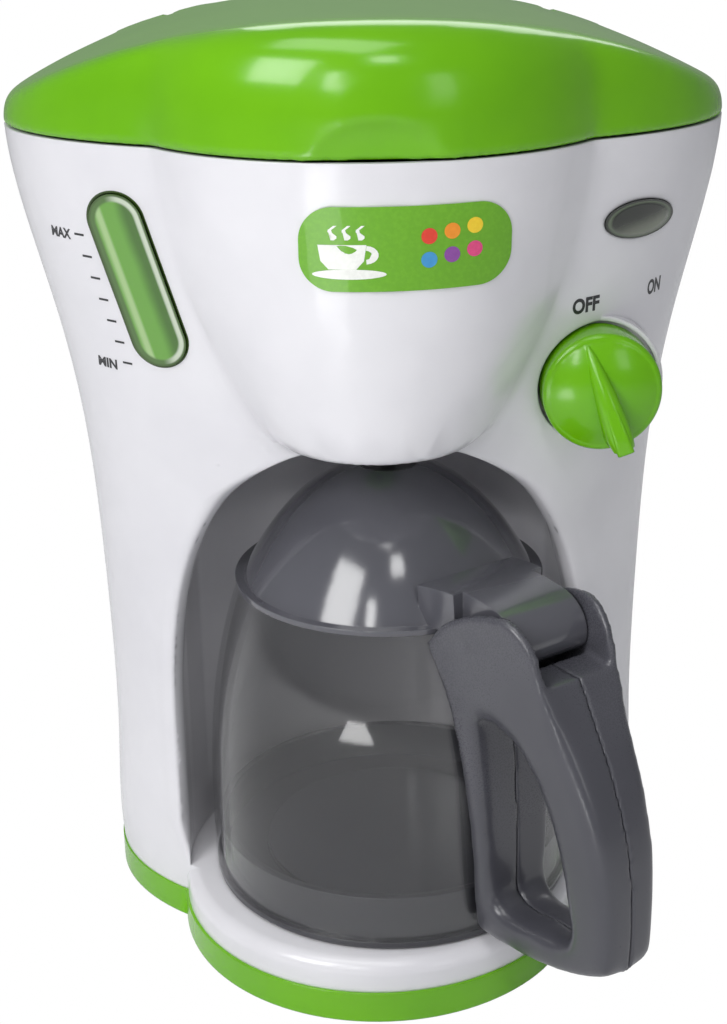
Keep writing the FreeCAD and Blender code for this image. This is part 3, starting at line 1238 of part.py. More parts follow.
def battery_door():
    """Cover of the battery box with its screw hole."""
    half = s.door_half_width - s.door_gap
    y1 = s.seam_y + s.back_depth_foot
    door = block(-half, half, y1 - s.door_thick, y1, s.door_low_z + s.door_gap, s.door_high_z - s.door_gap)
    cutters = [rod(s.screw_radius + s.running_gap, V(0, 0, door_screw_z), BACK, FAR),
               rod(s.screw_head_radius + s.free_gap, V(0, y1 - 1.0, door_screw_z), BACK, 10)]
    cutters += [block(-half + 8, half - 8, y1 - 0.5, FAR, s.door_low_z + 4 + 3 * i,
                      s.door_low_z + 5.4 + 3 * i)
                for i in range(4)]
    return door.cut(cutters)


def battery_door_screw():
    """Screw of the battery door."""
    y1 = s.seam_y + s.back_depth_foot - 1.0
    head = rod(s.screw_head_radius, V(0, y1, door_screw_z), BACK, 0.9)
    cross = block(-1.8, 1.8, y1 + 0.4, y1 + 2, door_screw_z - 0.35, door_screw_z + 0.35)
    cross = cross.fuse(block(Size(-0.35), Size(0.35), y1 + 0.4, y1 + 2, door_screw_z - 1.8,
                             door_screw_z + 1.8))
    return head.fuse(rod(s.screw_radius, V(0, y1, door_screw_z), FRONT, 8)).removeSplitter().cut(cross)


shaped("battery_box", battery_box())
shaped("battery_cells", battery_cells())
shaped("battery_contacts", battery_contacts())
shaped("battery_springs", battery_springs())
shaped("battery_door", battery_door())
shaped("battery_door_screw", battery_door_screw())

# Screws
screws("housing_screws", [V(p.x, s.screw_pocket_y - s.screw_head_thick, p.z) for p in seam_screws], FRONT,
       s.screw_pocket_y - s.screw_head_thick - s.seam_y + s.front_boss_depth - 4)
screws("base_screws", [V(p.x, p.y, 1 + s.base_screw_seat) for p in front_base_screws + rear_base_screws],
       UP,
       s.base_screw_length)

# Check and write
doc.recompute()
for item in doc.Objects:
    if "Invalid" in item.State or "Error" in item.State:
        raise RuntimeError(f"{item.Name} did not build")
os.makedirs("parts", exist_ok=True)
for piece in PIECES:
    shape = piece.Shape
    if shape.isNull() or not shape.isValid() or not shape.Solids:
        raise RuntimeError(f"{piece.Label} has no valid solid")
    shape.exportStep(f"parts/{piece.Label}.step")
    print(piece.Label, len(shape.Solids), round(shape.Volume, 1))
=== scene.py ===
"""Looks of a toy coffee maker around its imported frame: materials, refined surfaces, camera and studio."""

import logging
import math
from dataclasses import dataclass
from enum import Enum
from typing import Callable, Optional, Sequence, Union

import bmesh
import bpy
import numpy as np
from mathutils import Matrix, Vector
from mathutils.bvhtree import BVHTree


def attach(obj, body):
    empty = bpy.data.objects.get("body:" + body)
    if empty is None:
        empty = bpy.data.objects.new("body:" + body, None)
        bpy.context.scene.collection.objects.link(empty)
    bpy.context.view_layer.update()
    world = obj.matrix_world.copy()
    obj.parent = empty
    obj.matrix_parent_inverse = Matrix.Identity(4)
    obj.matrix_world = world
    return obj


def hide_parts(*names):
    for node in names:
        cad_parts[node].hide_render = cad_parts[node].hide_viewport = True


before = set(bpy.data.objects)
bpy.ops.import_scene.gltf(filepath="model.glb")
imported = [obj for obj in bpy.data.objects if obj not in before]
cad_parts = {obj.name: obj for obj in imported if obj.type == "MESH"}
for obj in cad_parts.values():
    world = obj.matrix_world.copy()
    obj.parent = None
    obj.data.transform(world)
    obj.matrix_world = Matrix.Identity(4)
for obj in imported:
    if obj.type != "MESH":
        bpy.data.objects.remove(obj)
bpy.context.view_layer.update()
LOG = logging.getLogger("coffee_maker")
MM = 0.001
MERGE = 2e-6
Pair = tuple[float, float]
Colour = tuple[int, int, int]
MeshChange = Callable[[bmesh.types.BMesh], None]


# Shader maths
def add_node(tree: bpy.types.NodeTree, kind: str, inputs: Optional[dict] = None,
             **settings: Union[str, int, bool]) -> bpy.types.Node:
    """Adds a node, with its settings first and then its inputs.

    Args:
        tree: The tree that gets the node.
        kind: The node's type.
        inputs: A number, colour, Socket or node output for each input, by its name or index.
        settings: Properties of the node, such as a Math node's operation.
    Returns:
        The new node.
    """
    node = tree.nodes.new(kind)
    for name, setting in settings.items():
        setattr(node, name, setting)
    for key, value in (inputs or {}).items():
        if isinstance(value, Socket):
            value = value.source
        if isinstance(value, bpy.types.NodeSocket):
            tree.links.new(value, node.inputs[key])
        else:
            node.inputs[key].default_value = value
    return node


class Socket:
    """A shader value that can be added, scaled and compared like a number."""

    def __init__(self, tree: bpy.types.NodeTree, source: bpy.types.NodeSocket) -> None:
        """Wraps a node's output."""
        self.tree = tree
        self.source = source

    def maths(self, operation: str, *values: Union["Socket", float]) -> "Socket":
        """A Math node on one or two values."""
        node = add_node(self.tree, "ShaderNodeMath", dict(enumerate(values)), operation=operation)
        return Socket(self.tree, node.outputs[0])

    def __add__(self, other: Union["Socket", float]) -> "Socket":
        """The sum."""
        return self.maths("ADD", self, other)

    def __radd__(self, other: float) -> "Socket":
        """The sum with a number in front."""
        return self.maths("ADD", other, self)

    def __sub__(self, other: Union["Socket", float]) -> "Socket":
        """The difference."""
        return self.maths("SUBTRACT", self, other)

    def __rsub__(self, other: float) -> "Socket":
        """A number less the value."""
        return self.maths("SUBTRACT", other, self)

    def __mul__(self, other: Union["Socket", float]) -> "Socket":
        """The product."""
        return self.maths("MULTIPLY", self, other)

    def __rmul__(self, other: float) -> "Socket":
        """The product with a number in front."""
        return self.maths("MULTIPLY", other, self)

    def __truediv__(self, other: Union["Socket", float]) -> "Socket":
        """The quotient."""
        return self.maths("DIVIDE", self, other)

    def __rtruediv__(self, other: float) -> "Socket":
        """A number divided by the value."""
        return self.maths("DIVIDE", other, self)

    def power(self, exponent: float) -> "Socket":
        """Raises the value to a power."""
        return self.maths("POWER", self, exponent)

    def below(self, limit: float) -> "Socket":
        """1 where the value is below the limit, else 0."""
        return self.maths("LESS_THAN", self, limit)

    def absolute(self) -> "Socket":
        """The value without its sign."""
        return self.maths("ABSOLUTE", self)

    def smaller(self, other: float) -> "Socket":
        """The smaller of two values."""
        return self.maths("MINIMUM", self, other)

    def larger(self, other: float) -> "Socket":
        """The larger of two values."""
        return self.maths("MAXIMUM", self, other)

    def ramp(self, low: float, high: float) -> "Socket":
        """A smooth step.

        Args:
            low: The value that gives 0.
            high: The value that gives 1.
        Returns:
            The step, from 0 to 1.
        """
        node = add_node(self.tree, "ShaderNodeMapRange", {"Value": self, "From Min": low, "From Max": high},
                        interpolation_type="SMOOTHSTEP", clamp=True)
        return Socket(self.tree, node.outputs["Result"])


def linear(colour: Colour) -> tuple[float, float, float, float]:
    """Turns an sRGB colour of 0 to 255 into Blender's linear values.

    Args:
        colour: Red, green and blue from 0 to 255.
    Returns:
        The linear colour with an alpha of 1.
    """
    out = []
    for part in colour:
        share = part / 255.0
        out.append(share / 12.92 if share <= 0.04045 else ((share + 0.055) / 1.055) ** 2.4)
    return (*out, 1.0)


class Surface:
    """A Principled material under construction."""

    def __init__(self, name: str, material: Optional[bpy.types.Material] = None) -> None:
        """Starts a new material, or takes hold of one that is already made.

        Args:
            name: The material's name.
            material: A finished Principled material to work on, or nothing for a new one.
        """
        self.material = material or bpy.data.materials.new(name)
        self.material.name = name
        self.material.use_nodes = True
        self.tree = self.material.node_tree
        self.shader = self.tree.nodes["Principled BSDF"]
        self.position = Socket(self.tree, add_node(self.tree, "ShaderNodeTexCoord").outputs["Object"])

    def axes(self) -> tuple[Socket, ...]:
        """The point's X, Y and Z in metres.

        Returns:
            The three values.
        """
        node = add_node(self.tree, "ShaderNodeSeparateXYZ", {0: self.position})
        return tuple(Socket(self.tree, node.outputs[i]) for i in range(3))

    def line_distances(self, start: Pair, end: Pair) -> tuple[Socket, Socket]:
        """Distances in the front view, in metres, from a line between two places.

        Args:
            start: X and Z of one end, in millimetres.
            end: X and Z of the other end, in millimetres.
        Returns:
            The distance to the line and its round ends, and the signed distance to the line's right.
        """
        x, _, z = self.axes()
        length = math.hypot(end[0] - start[0], end[1] - start[1])
        ux, uz = (end[0] - start[0]) / length, (end[1] - start[1]) / length
        dx, dz = x - start[0] * MM, z - start[1] * MM
        along = (dx * ux + dz * uz).larger(0.0).smaller(length * MM)
        past_x, past_z = dx - along * ux, dz - along * uz
        return (past_x * past_x + past_z * past_z).power(0.5), dx * -uz + dz * ux

    def noise(self, scale: float, detail: float = 3.0, roughness: float = 0.5) -> Socket:
        """Fractal noise on the object's own coordinates.

        Args:
            scale: How many patches fit in a metre.
            detail: How many finer layers it has.
            roughness: How strong the finer layers are.
        Returns:
            The noise from 0 to 1.
        """
        node = add_node(self.tree, "ShaderNodeTexNoise",
                        {"Vector": self.position, "Scale": scale, "Detail": detail, "Roughness": roughness})
        return Socket(self.tree, node.outputs["Fac"])

    def mix(self, share: Socket, low: Union[Socket, tuple], high: Union[Socket, tuple]) -> Socket:
        """A colour between two colours or colour sockets.

        Args:
            share: How much of the second colour.
            low: The first colour.
            high: The second colour.
        Returns:
            The mixed colour.
        """
        node = add_node(self.tree, "ShaderNodeMix", {0: share, 6: low, 7: high}, data_type="RGBA")
        return Socket(self.tree, node.outputs[2])

    def value(self, **values: Union[Socket, float, tuple]) -> None:
        """Sets inputs of the shader.

        Args:
            values: Each input, with an underscore for a space in its name.
        """
        for name, value in values.items():
            target = self.shader.inputs[name.replace("_", " ")]
            if isinstance(value, Socket):
                self.tree.links.new(value.source, target)
            else:
                target.default_value = value

    def relief(self, height: Socket, edge: float = 0.0) -> None:
        """Adds a bump, on edges softened by a radius.

        Args:
            height: The bump's height in metres.
            edge: Radius in metres that the edges are softened by, or 0 for none.
        """
        inputs = {"Strength": 1.0, "Distance": 1.0, "Height": height}
        if edge > 0:
            soft = add_node(self.tree, "ShaderNodeBevel", {"Radius": edge}, samples=6)
            inputs["Normal"] = soft.outputs[0]
        bump = add_node(self.tree, "ShaderNodeBump", inputs)
        self.tree.links.new(bump.outputs[0], self.shader.inputs["Normal"])


@dataclass(frozen=True)
class Finish:
    """One moulded finish: its colour, gloss and small surface detail."""

    colour: Colour
    shade: Colour
    roughness: float = 0.3
    gloss: float = 0.5
    coat: float = 0.0
    metal: float = 0.0
    scatter: float = 0.0
    waviness: float = 4e-5
    grain: float = 6e-6
    edge: float = 0.0006


class Look(Enum):
    """The finishes of the toy."""

    WHITE = Finish((236, 235, 239), (224, 223, 228), 0.24, 0.5, 0.35, scatter=0.1, waviness=5e-5, edge=0.0009)
    GREEN = Finish((116, 190, 0), (103, 176, 0), 0.2, 0.45, 0.3, waviness=6e-5, edge=0.0008)
    GREEN_TANK = Finish((104, 176, 18), (90, 158, 12), 0.35, 0.45, 0.2)
    GREY = Finish((82, 82, 89), (70, 70, 77), 0.28, 0.5, 0.3, waviness=7e-5, edge=0.0008)
    DOME = Finish((90, 90, 97), (78, 78, 85), 0.14, 0.6, 0.8, waviness=5e-5)
    CUP = Finish((66, 66, 71), (54, 54, 59), 0.34, 0.5, 0.2)
    DARK = Finish((34, 34, 37), (22, 22, 25), 0.35, 0.5, 0.2)
    INNER = Finish((122, 122, 126), (104, 104, 108), 0.5)
    BOARD = Finish((22, 84, 42), (14, 64, 30), 0.45, 0.5, 0.3)
    LAMP = Finish((190, 30, 24), (150, 18, 14), 0.15, 0.5, 0.5)
    CONE = Finish((40, 40, 42), (24, 24, 26), 0.85, 0.2, grain=4e-5)
    JACKET = Finish((44, 52, 78), (34, 40, 62), 0.3, 0.5, 0.3)
    STEEL = Finish((190, 190, 194), (150, 150, 156), 0.32, 0.5, metal=1.0)
    CONTACT = Finish((214, 208, 196), (178, 172, 160), 0.28, 0.5, metal=1.0)
    MAGNET = Finish((90, 90, 94), (66, 66, 70), 0.4, 0.5, metal=0.9)


@dataclass(frozen=True)
class GaugeWindow:
    """The level window in the front view: its middle line in millimetres, its bands of painted shade and
    painted highlight in metres.
    """

    top: Pair = (-63.4, 205.8)
    foot: Pair = (-54.5, 175.7)
    # Place and width of the ring of painted shade in the groove on the housing.
    groove_radius: float = 0.00735
    groove_half: float = 0.00038
    # Painted shade on the tube's lower side, with a wandering edge.
    painted_shade_from: Pair = (0.0012, 0.0046)
    painted_shade_wander: float = 0.0015
    # The band of the painted highlight streak along the window.
    highlight_outer: Pair = (-0.0052, -0.0038)
    highlight_inner: Pair = (0.0022, 0.0032)
    # Where the rim turns from painted shade to painted highlight.
    rim_highlight_side: Pair = (-0.001, 0.003)
    rim: Pair = (0.0048, 0.0056)
    # The band of painted shade at the window's edge by the groove.
    edge: Pair = (0.0062, 0.0067)
    relief: float = 5e-5


@dataclass(frozen=True)
class LampWindow:
    """The lamp's oval lens in the front view, in metres, with its bands as shares of its reach."""

    x: float = 0.0671
    z: float = 0.2035
    half_x: float = 0.00985
    half_z: float = 0.00485
    rim: Pair = (0.78, 0.88)
    edge: Pair = (0.9, 0.96)
    dish: Pair = (0.74, 0.9)
    dish_depth: float = 0.0004


class Paint:
    """Makes the finishes, and each moulded one only once."""

    GAUGE = GaugeWindow()
    LENS = LampWindow()

    def __init__(self) -> None:
        """Starts with no finish made."""
        self.made: dict[Look, bpy.types.Material] = {}

    def moulded(self, look: Look) -> bpy.types.Material:
        """Moulded plastic or plated metal with flow marks, fine grain and soft edges.

        Args:
            look: Which finish.
        Returns:
            The material, the same one each time.
        """
        if look in self.made:
            return self.made[look]
        finish = look.value
        surface = Surface(look.name.lower() + "_finish")
        flow = surface.noise(14.0, 4.0, 0.55)
        fine = surface.noise(2600.0, 2.0, 0.6)
        wave = surface.noise(55.0, 2.0, 0.4)
        colour = surface.mix(flow.ramp(0.3, 0.75), linear(finish.colour), linear(finish.shade))
        surface.value(Base_Color=colour, Roughness=flow * 0.08 + fine * 0.05 + (finish.roughness - 0.065),
                      Specular_IOR_Level=finish.gloss, Metallic=finish.metal, Coat_Weight=finish.coat,
                      Coat_Roughness=0.12)
        if finish.scatter:
            surface.value(Subsurface_Weight=finish.scatter, Subsurface_Radius=(1.0, 1.0, 1.0),
                          Subsurface_Scale=0.0012)
        surface.relief(wave * finish.waviness + fine * finish.grain, finish.edge)
        self.made[look] = surface.material
        return surface.material

    def clear(self, name: str, tint: Colour, roughness: float, haze: float) -> bpy.types.Material:
        """Thin clear plastic: see-through with a bright film of gloss.

        Args:
            name: The material's name.
            tint: Colour of the light that passes.
            roughness: Roughness of the gloss.
            haze: Share of the surface that stays cloudy.
        Returns:
            The material.
        """
        surface = Surface(name)
        tree = surface.tree
        flow = surface.noise(20.0, 3.0, 0.5)
        surface.value(Base_Color=linear(tint), Metallic=1.0, Roughness=flow * 0.05 + roughness)
        surface.relief(surface.noise(42.0, 2.0, 0.4) * 6e-5)
        through = add_node(tree, "ShaderNodeBsdfTransparent", {"Color": linear(tint)})
        facing = add_node(tree, "ShaderNodeLayerWeight", {"Blend": 0.5})
        share = Socket(tree, facing.outputs["Facing"]).power(4.0) * 0.6 + flow * 0.012 + haze
        blend = add_node(tree, "ShaderNodeMixShader",
                         {0: share, 1: through.outputs[0], 2: surface.shader.outputs[0]})
        tree.links.new(blend.outputs[0], tree.nodes["Material Output"].inputs["Surface"])
        return surface.material

    def front_white(self) -> bpy.types.Material:
        """The housing's white with a dark green ring of painted shade in the groove round the level window.

        Returns:
            The material.
        """
        gauge = self.GAUGE
        surface = Surface("white_front_painted_groove_shade", self.moulded(Look.WHITE).copy())
        distance, _ = surface.line_distances(gauge.top, gauge.foot)
        # Painted shade: the groove round the level window is painted dark green where it lies in shadow.
        groove = (distance - gauge.groove_radius).absolute().below(gauge.groove_half)
        white = Socket(surface.tree, surface.shader.inputs["Base Color"].links[0].from_socket)
        surface.value(Base_Color=surface.mix(groove, white, linear((60, 84, 34))))
        return surface.material

    def ink(self, name: str, colour: Colour) -> bpy.types.Material:
        """Printed film: a flat colour broken by a faint print grain.

        Args:
            name: The material's name.
            colour: Its colour from 0 to 255.
        Returns:
            The material.
        """
        surface = Surface(name)
        grain = surface.noise(900.0, 3.0, 0.6)
        pale = tuple(min(255, part + 10) for part in colour)
        surface.value(Base_Color=surface.mix(grain.ramp(0.35, 0.8), linear(colour), linear(pale)),
                      Roughness=grain * 0.12 + 0.3, Coat_Weight=0.3)
        surface.relief(grain * 4e-6)
        return surface.material

    def gauge_lens(self) -> bpy.types.Material:
        """Clear bulging window over the green level tube, painted with light and shade: a dark rim of painted
        shade, painted shade on its lower side, a pale streak of painted highlight, and a rim painted pale on
        one side.

        Returns:
            The material.
        """
        gauge = self.GAUGE
        surface = Surface("gauge_lens_finish")
        distance, side = surface.line_distances(gauge.top, gauge.foot)
        flow = surface.noise(60.0, 3.0, 0.5)
        # Painted shade: the tube darkens towards its lower side.
        lower = (side + flow * gauge.painted_shade_wander).ramp(*gauge.painted_shade_from)
        body = surface.mix(lower, linear((98, 158, 50)), linear((58, 106, 14)))
        # Painted highlight: a pale streak along the window.
        pale = side.ramp(*gauge.highlight_outer) * (side * -1.0).ramp(*gauge.highlight_inner)
        body = surface.mix(pale * 0.6, body, linear((188, 214, 160)))
        # Painted light on the rim: pale on one side as a highlight, dark on the other as shade.
        rim = surface.mix(side.ramp(*gauge.rim_highlight_side), linear((70, 108, 40)), linear((196, 208, 186)))
        body = surface.mix(distance.ramp(*gauge.rim), body, rim)
        # Painted shade: a dark band at the window's edge by the groove.
        body = surface.mix(distance.ramp(*gauge.edge), body, linear((56, 88, 22)))
        surface.value(Base_Color=body, Roughness=flow * 0.05 + 0.05, Coat_Weight=1.0, Coat_Roughness=0.03)
        surface.relief(surface.noise(60.0, 2.0, 0.4) * gauge.relief)
        return surface.material

    def lamp_lens(self) -> bpy.types.Material:
        """Smoked oval lens with a paler rim and a dim hollow behind it, painted with shade to the upper left
        and light to the lower right.

        Returns:
            The material.
        """
        lens = self.LENS
        surface = Surface("lamp_lens_painted_shade")
        x, _, z = surface.axes()
        across = (x - lens.x) / lens.half_x
        up = (z - lens.z) / lens.half_z
        reach = (across * across + up * up).power(0.5)
        flow = surface.noise(160.0, 3.0, 0.5)
        # Painted shade and light in the hollow: dark to the upper left, pale to the lower right.
        depth = (up - across * 0.5 + flow * 0.4).ramp(-0.7, 0.5)
        hollow = surface.mix(depth, linear((124, 130, 114)), linear((26, 33, 22)))
        rim = surface.mix(reach.ramp(*lens.rim), hollow, linear((92, 104, 84)))
        edge = surface.mix(reach.ramp(*lens.edge), rim, linear((36, 43, 32)))
        surface.value(Base_Color=edge, Roughness=flow * 0.05 + 0.08, Coat_Weight=1.0, Coat_Roughness=0.04)
        surface.relief(reach.ramp(*lens.dish) * -lens.dish_depth + flow * 3e-5)
        return surface.material


PAINT = Paint()


# Mesh helpers
def add_object(name: str, mesh: bpy.types.Mesh,
               material: Optional[bpy.types.Material] = None) -> bpy.types.Object:
    """Puts a mesh in the scene as an object at the origin.

    Args:
        name: The object's name.
        mesh: Its mesh.
        material: Its finish, or nothing to leave the mesh's own.
    Returns:
        The new object.
    """
    obj = bpy.data.objects.new(name, mesh)
    bpy.context.scene.collection.objects.link(obj)
    if material:
        mesh.materials.clear()
        mesh.materials.append(material)
    return obj


def finished_mesh(name: str, bm: bmesh.types.BMesh) -> bpy.types.Mesh:
    """Turns a working mesh into a finished one and frees it.

    Args:
        name: The new mesh's name.
        bm: The working mesh.
    Returns:
        The new mesh.
    """
    mesh = bpy.data.meshes.new(name)
    bm.to_mesh(mesh)
    bm.free()
    return mesh


def evaluated_mesh(obj: bpy.types.Object) -> bpy.types.Mesh:
    """Takes the plain mesh of an object after its modifiers, and removes the object.

    Args:
        obj: The object.
    Returns:
        The new mesh.
    """
    graph = bpy.context.evaluated_depsgraph_get()
    mesh = bpy.data.meshes.new_from_object(obj.evaluated_get(graph))
    bpy.data.objects.remove(obj)
    return mesh


def node_mesh(node: str) -> bmesh.types.BMesh:
    """Copies a CAD node's mesh and merges its doubles.

    Args:
        node: The CAD node.
    Returns:
        The working copy.
    """
    bm = bmesh.new()
    bm.from_mesh(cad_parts[node].data)
    bmesh.ops.remove_doubles(bm, verts=bm.verts, dist=MERGE)
    return bm


def soften(bm: bmesh.types.BMesh, angle: float) -> None:
    """Marks faces smooth and edges over an angle sharp.

    Args:
        bm: The mesh to mark.
        angle: The angle in degrees.
    """
    limit = math.radians(angle)
    for face in bm.faces:
        face.smooth = True
    for edge in bm.edges:
        edge.smooth = len(edge.link_faces) == 2 and edge.calc_face_angle(0.0) < limit


def refined(node: str, material: bpy.types.Material, angle: float,
            change: Optional[MeshChange] = None) -> bpy.types.Object:
    """A merged and smoothly shaded copy of a CAD node that stands for it.

    Args:
        node: The CAD node; the piece is named after it.
        material: Its finish.
        angle: Edges sharper than this many degrees stay sharp.
        change: Optional work on the merged mesh.
    Returns:
        The new object.
    """
    bm = node_mesh(node)
    bmesh.ops.dissolve_degenerate(bm, edges=bm.edges, dist=MERGE / 2)
    if change:
        change(bm)
    soften(bm, angle)
    name = node + "_skin"
    return add_object(name, finished_mesh(name, bm), material)


def replace(obj: bpy.types.Object, body: str, slot: str, *nodes: str) -> bpy.types.Object:
    """Hands a finished piece to the frame.

    Args:
        obj: The piece.
        body: The body that it rides on.
        slot: Its material slot's name; not used.
        nodes: The CAD nodes that it stands for, if any.
    Returns:
        The piece.
    """
    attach(obj, body)
    if nodes:
        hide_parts(*nodes)
    return obj


# Camera and studio
@dataclass(frozen=True)
class Viewpoint:
    """The photograph's camera, in metres and degrees."""

    place: tuple[float, float, float] = (-0.01576, -0.439379, 0.287761)
    yaw: float = 3.015
    pitch: float = 20.288
    roll: float = -0.525
    lens: float = 59.763
    sensor: float = 36.0
    nearest: float = 0.02
    shift: Pair = (-0.0368, -0.02007)

    def build(self) -> None:
        """Makes the camera."""
        yaw, pitch, roll = (math.radians(v) for v in (self.yaw, self.pitch, self.roll))
        ahead = Vector((math.sin(yaw) * math.cos(pitch), math.cos(yaw) * math.cos(pitch),
                        -math.sin(pitch)))
        right = Vector((math.cos(yaw), -math.sin(yaw), 0.0))
        up = right.cross(ahead)
        right, up = (math.cos(roll) * right + math.sin(roll) * up,
                     -math.sin(roll) * right + math.cos(roll) * up)
        data = bpy.data.cameras.new("view")
        data.lens = self.lens
        data.sensor_width = self.sensor
        data.shift_x, data.shift_y = self.shift
        data.clip_start = self.nearest
        camera = bpy.data.objects.new("view", data)
        turn = Matrix((right, up, -ahead)).transposed().to_4x4()
        camera.matrix_world = Matrix.Translation(self.place) @ turn
        bpy.context.scene.collection.objects.link(camera)
        bpy.context.scene.camera = camera


@dataclass(frozen=True)
class Lamp:
    """One soft panel: where it is, what it points at, its size and strength."""

    place: tuple[float, float, float]
    size: Pair
    watts: float
    target: tuple[float, float, float] = (0.0, 0.0, 0.13)
    turn: float = 0.0
    seen: bool = True

    def build(self, name: str) -> None:
        """Makes the lamp.

        Args:
            name: The lamp's name.
        """
        data = bpy.data.lights.new(name, "AREA")
        data.shape = "RECTANGLE"
        data.size, data.size_y = self.size
        data.energy = self.watts
        lamp = bpy.data.objects.new(name, data)
        lamp.location = self.place
        aim = (Vector(self.target) - Vector(self.place)).to_track_quat("-Z", "Y").to_matrix()
        lamp.rotation_euler = (Matrix.Rotation(math.radians(self.turn), 3, "Z") @ aim).to_euler()
        lamp.visible_camera = self.seen
        bpy.context.scene.collection.objects.link(lamp)


@dataclass(frozen=True)
class Studio:
    """White floor, soft panels and an even surround, in metres."""

    floor_half: float = 4.0
    floor_gap: float = 0.0002
    floor_colour: tuple[float, float, float, float] = (0.86, 0.86, 0.87, 1)
    surround_colour: tuple[float, float, float, float] = (0.95, 0.97, 1.0, 1)
    surround_strength: float = 0.25
    white: tuple[float, float, float, float] = (1, 1, 1, 1)

    LAMPS = {
        "key": Lamp((-0.72, -0.75, 0.8), (0.5, 0.6), 6.6),
        "top": Lamp((-0.2, -0.3, 1.2), (0.7, 0.4), 2.8),
        "fill": Lamp((0.55, -0.95, 0.5), (0.22, 0.4), 0.5),
        "strip": Lamp((-0.22, -0.72, 0.5), (0.08, 0.26), 0.55),
        "window": Lamp((0.08, -0.62, 0.86), (0.15, 0.15), 0.5),
        "card": Lamp((-0.26, -0.626, 0.002), (0.17, 0.42), 1.0, (-0.26, -0.6259, 1.0), -24.0, False),
        "rim": Lamp((0.2, 0.9, 0.9), (0.9, 0.5), 3.0),
    }

    def build(self) -> None:
        """Makes the floor, the lamps and the world."""
        bm = bmesh.new()
        bmesh.ops.create_grid(bm, x_segments=1, y_segments=1, size=self.floor_half)
        floor = add_object("floor", finished_mesh("floor", bm), self._floor_material())
        floor.location.z = -self.floor_gap
        for name, lamp in self.LAMPS.items():
            lamp.build(name)
        self._surround()

    def _blend(self, tree: bpy.types.NodeTree, lighting: bpy.types.NodeSocket,
               seen: bpy.types.NodeSocket, output: str) -> None:
        """Ends a tree with one shader for the picture and one for the light.

        Args:
            tree: The tree of the floor or the world.
            lighting: The shader that lights the toy.
            seen: The shader that shows in the picture.
            output: The name of the tree's output node.
        """
        path = add_node(tree, "ShaderNodeLightPath")
        blend = add_node(tree, "ShaderNodeMixShader",
                         {0: path.outputs["Is Camera Ray"], 1: lighting, 2: seen})
        tree.links.new(blend.outputs[0], tree.nodes[output].inputs["Surface"])

    def _floor_material(self) -> bpy.types.Material:
        """Matt white under the toy that shows as plain white."""
        surface = Surface("floor_white")
        surface.value(Base_Color=self.floor_colour, Roughness=0.9, Specular_IOR_Level=0.1)
        glow = add_node(surface.tree, "ShaderNodeEmission", {"Color": self.white, "Strength": 1.0})
        self._blend(surface.tree, surface.shader.outputs[0], glow.outputs[0], "Material Output")
        return surface.material

    def _surround(self) -> None:
        """An even dim light from all sides that shows as plain white."""
        world = bpy.data.worlds.new("surround")
        bpy.context.scene.world = world
        world.use_nodes = True
        tree = world.node_tree
        base = tree.nodes["Background"]
        base.inputs["Color"].default_value = self.surround_colour
        base.inputs["Strength"].default_value = self.surround_strength
        seen = add_node(tree, "ShaderNodeBackground", {"Color": self.white, "Strength": 1.0})
        self._blend(tree, base.outputs[0], seen.outputs[0], "World Output")


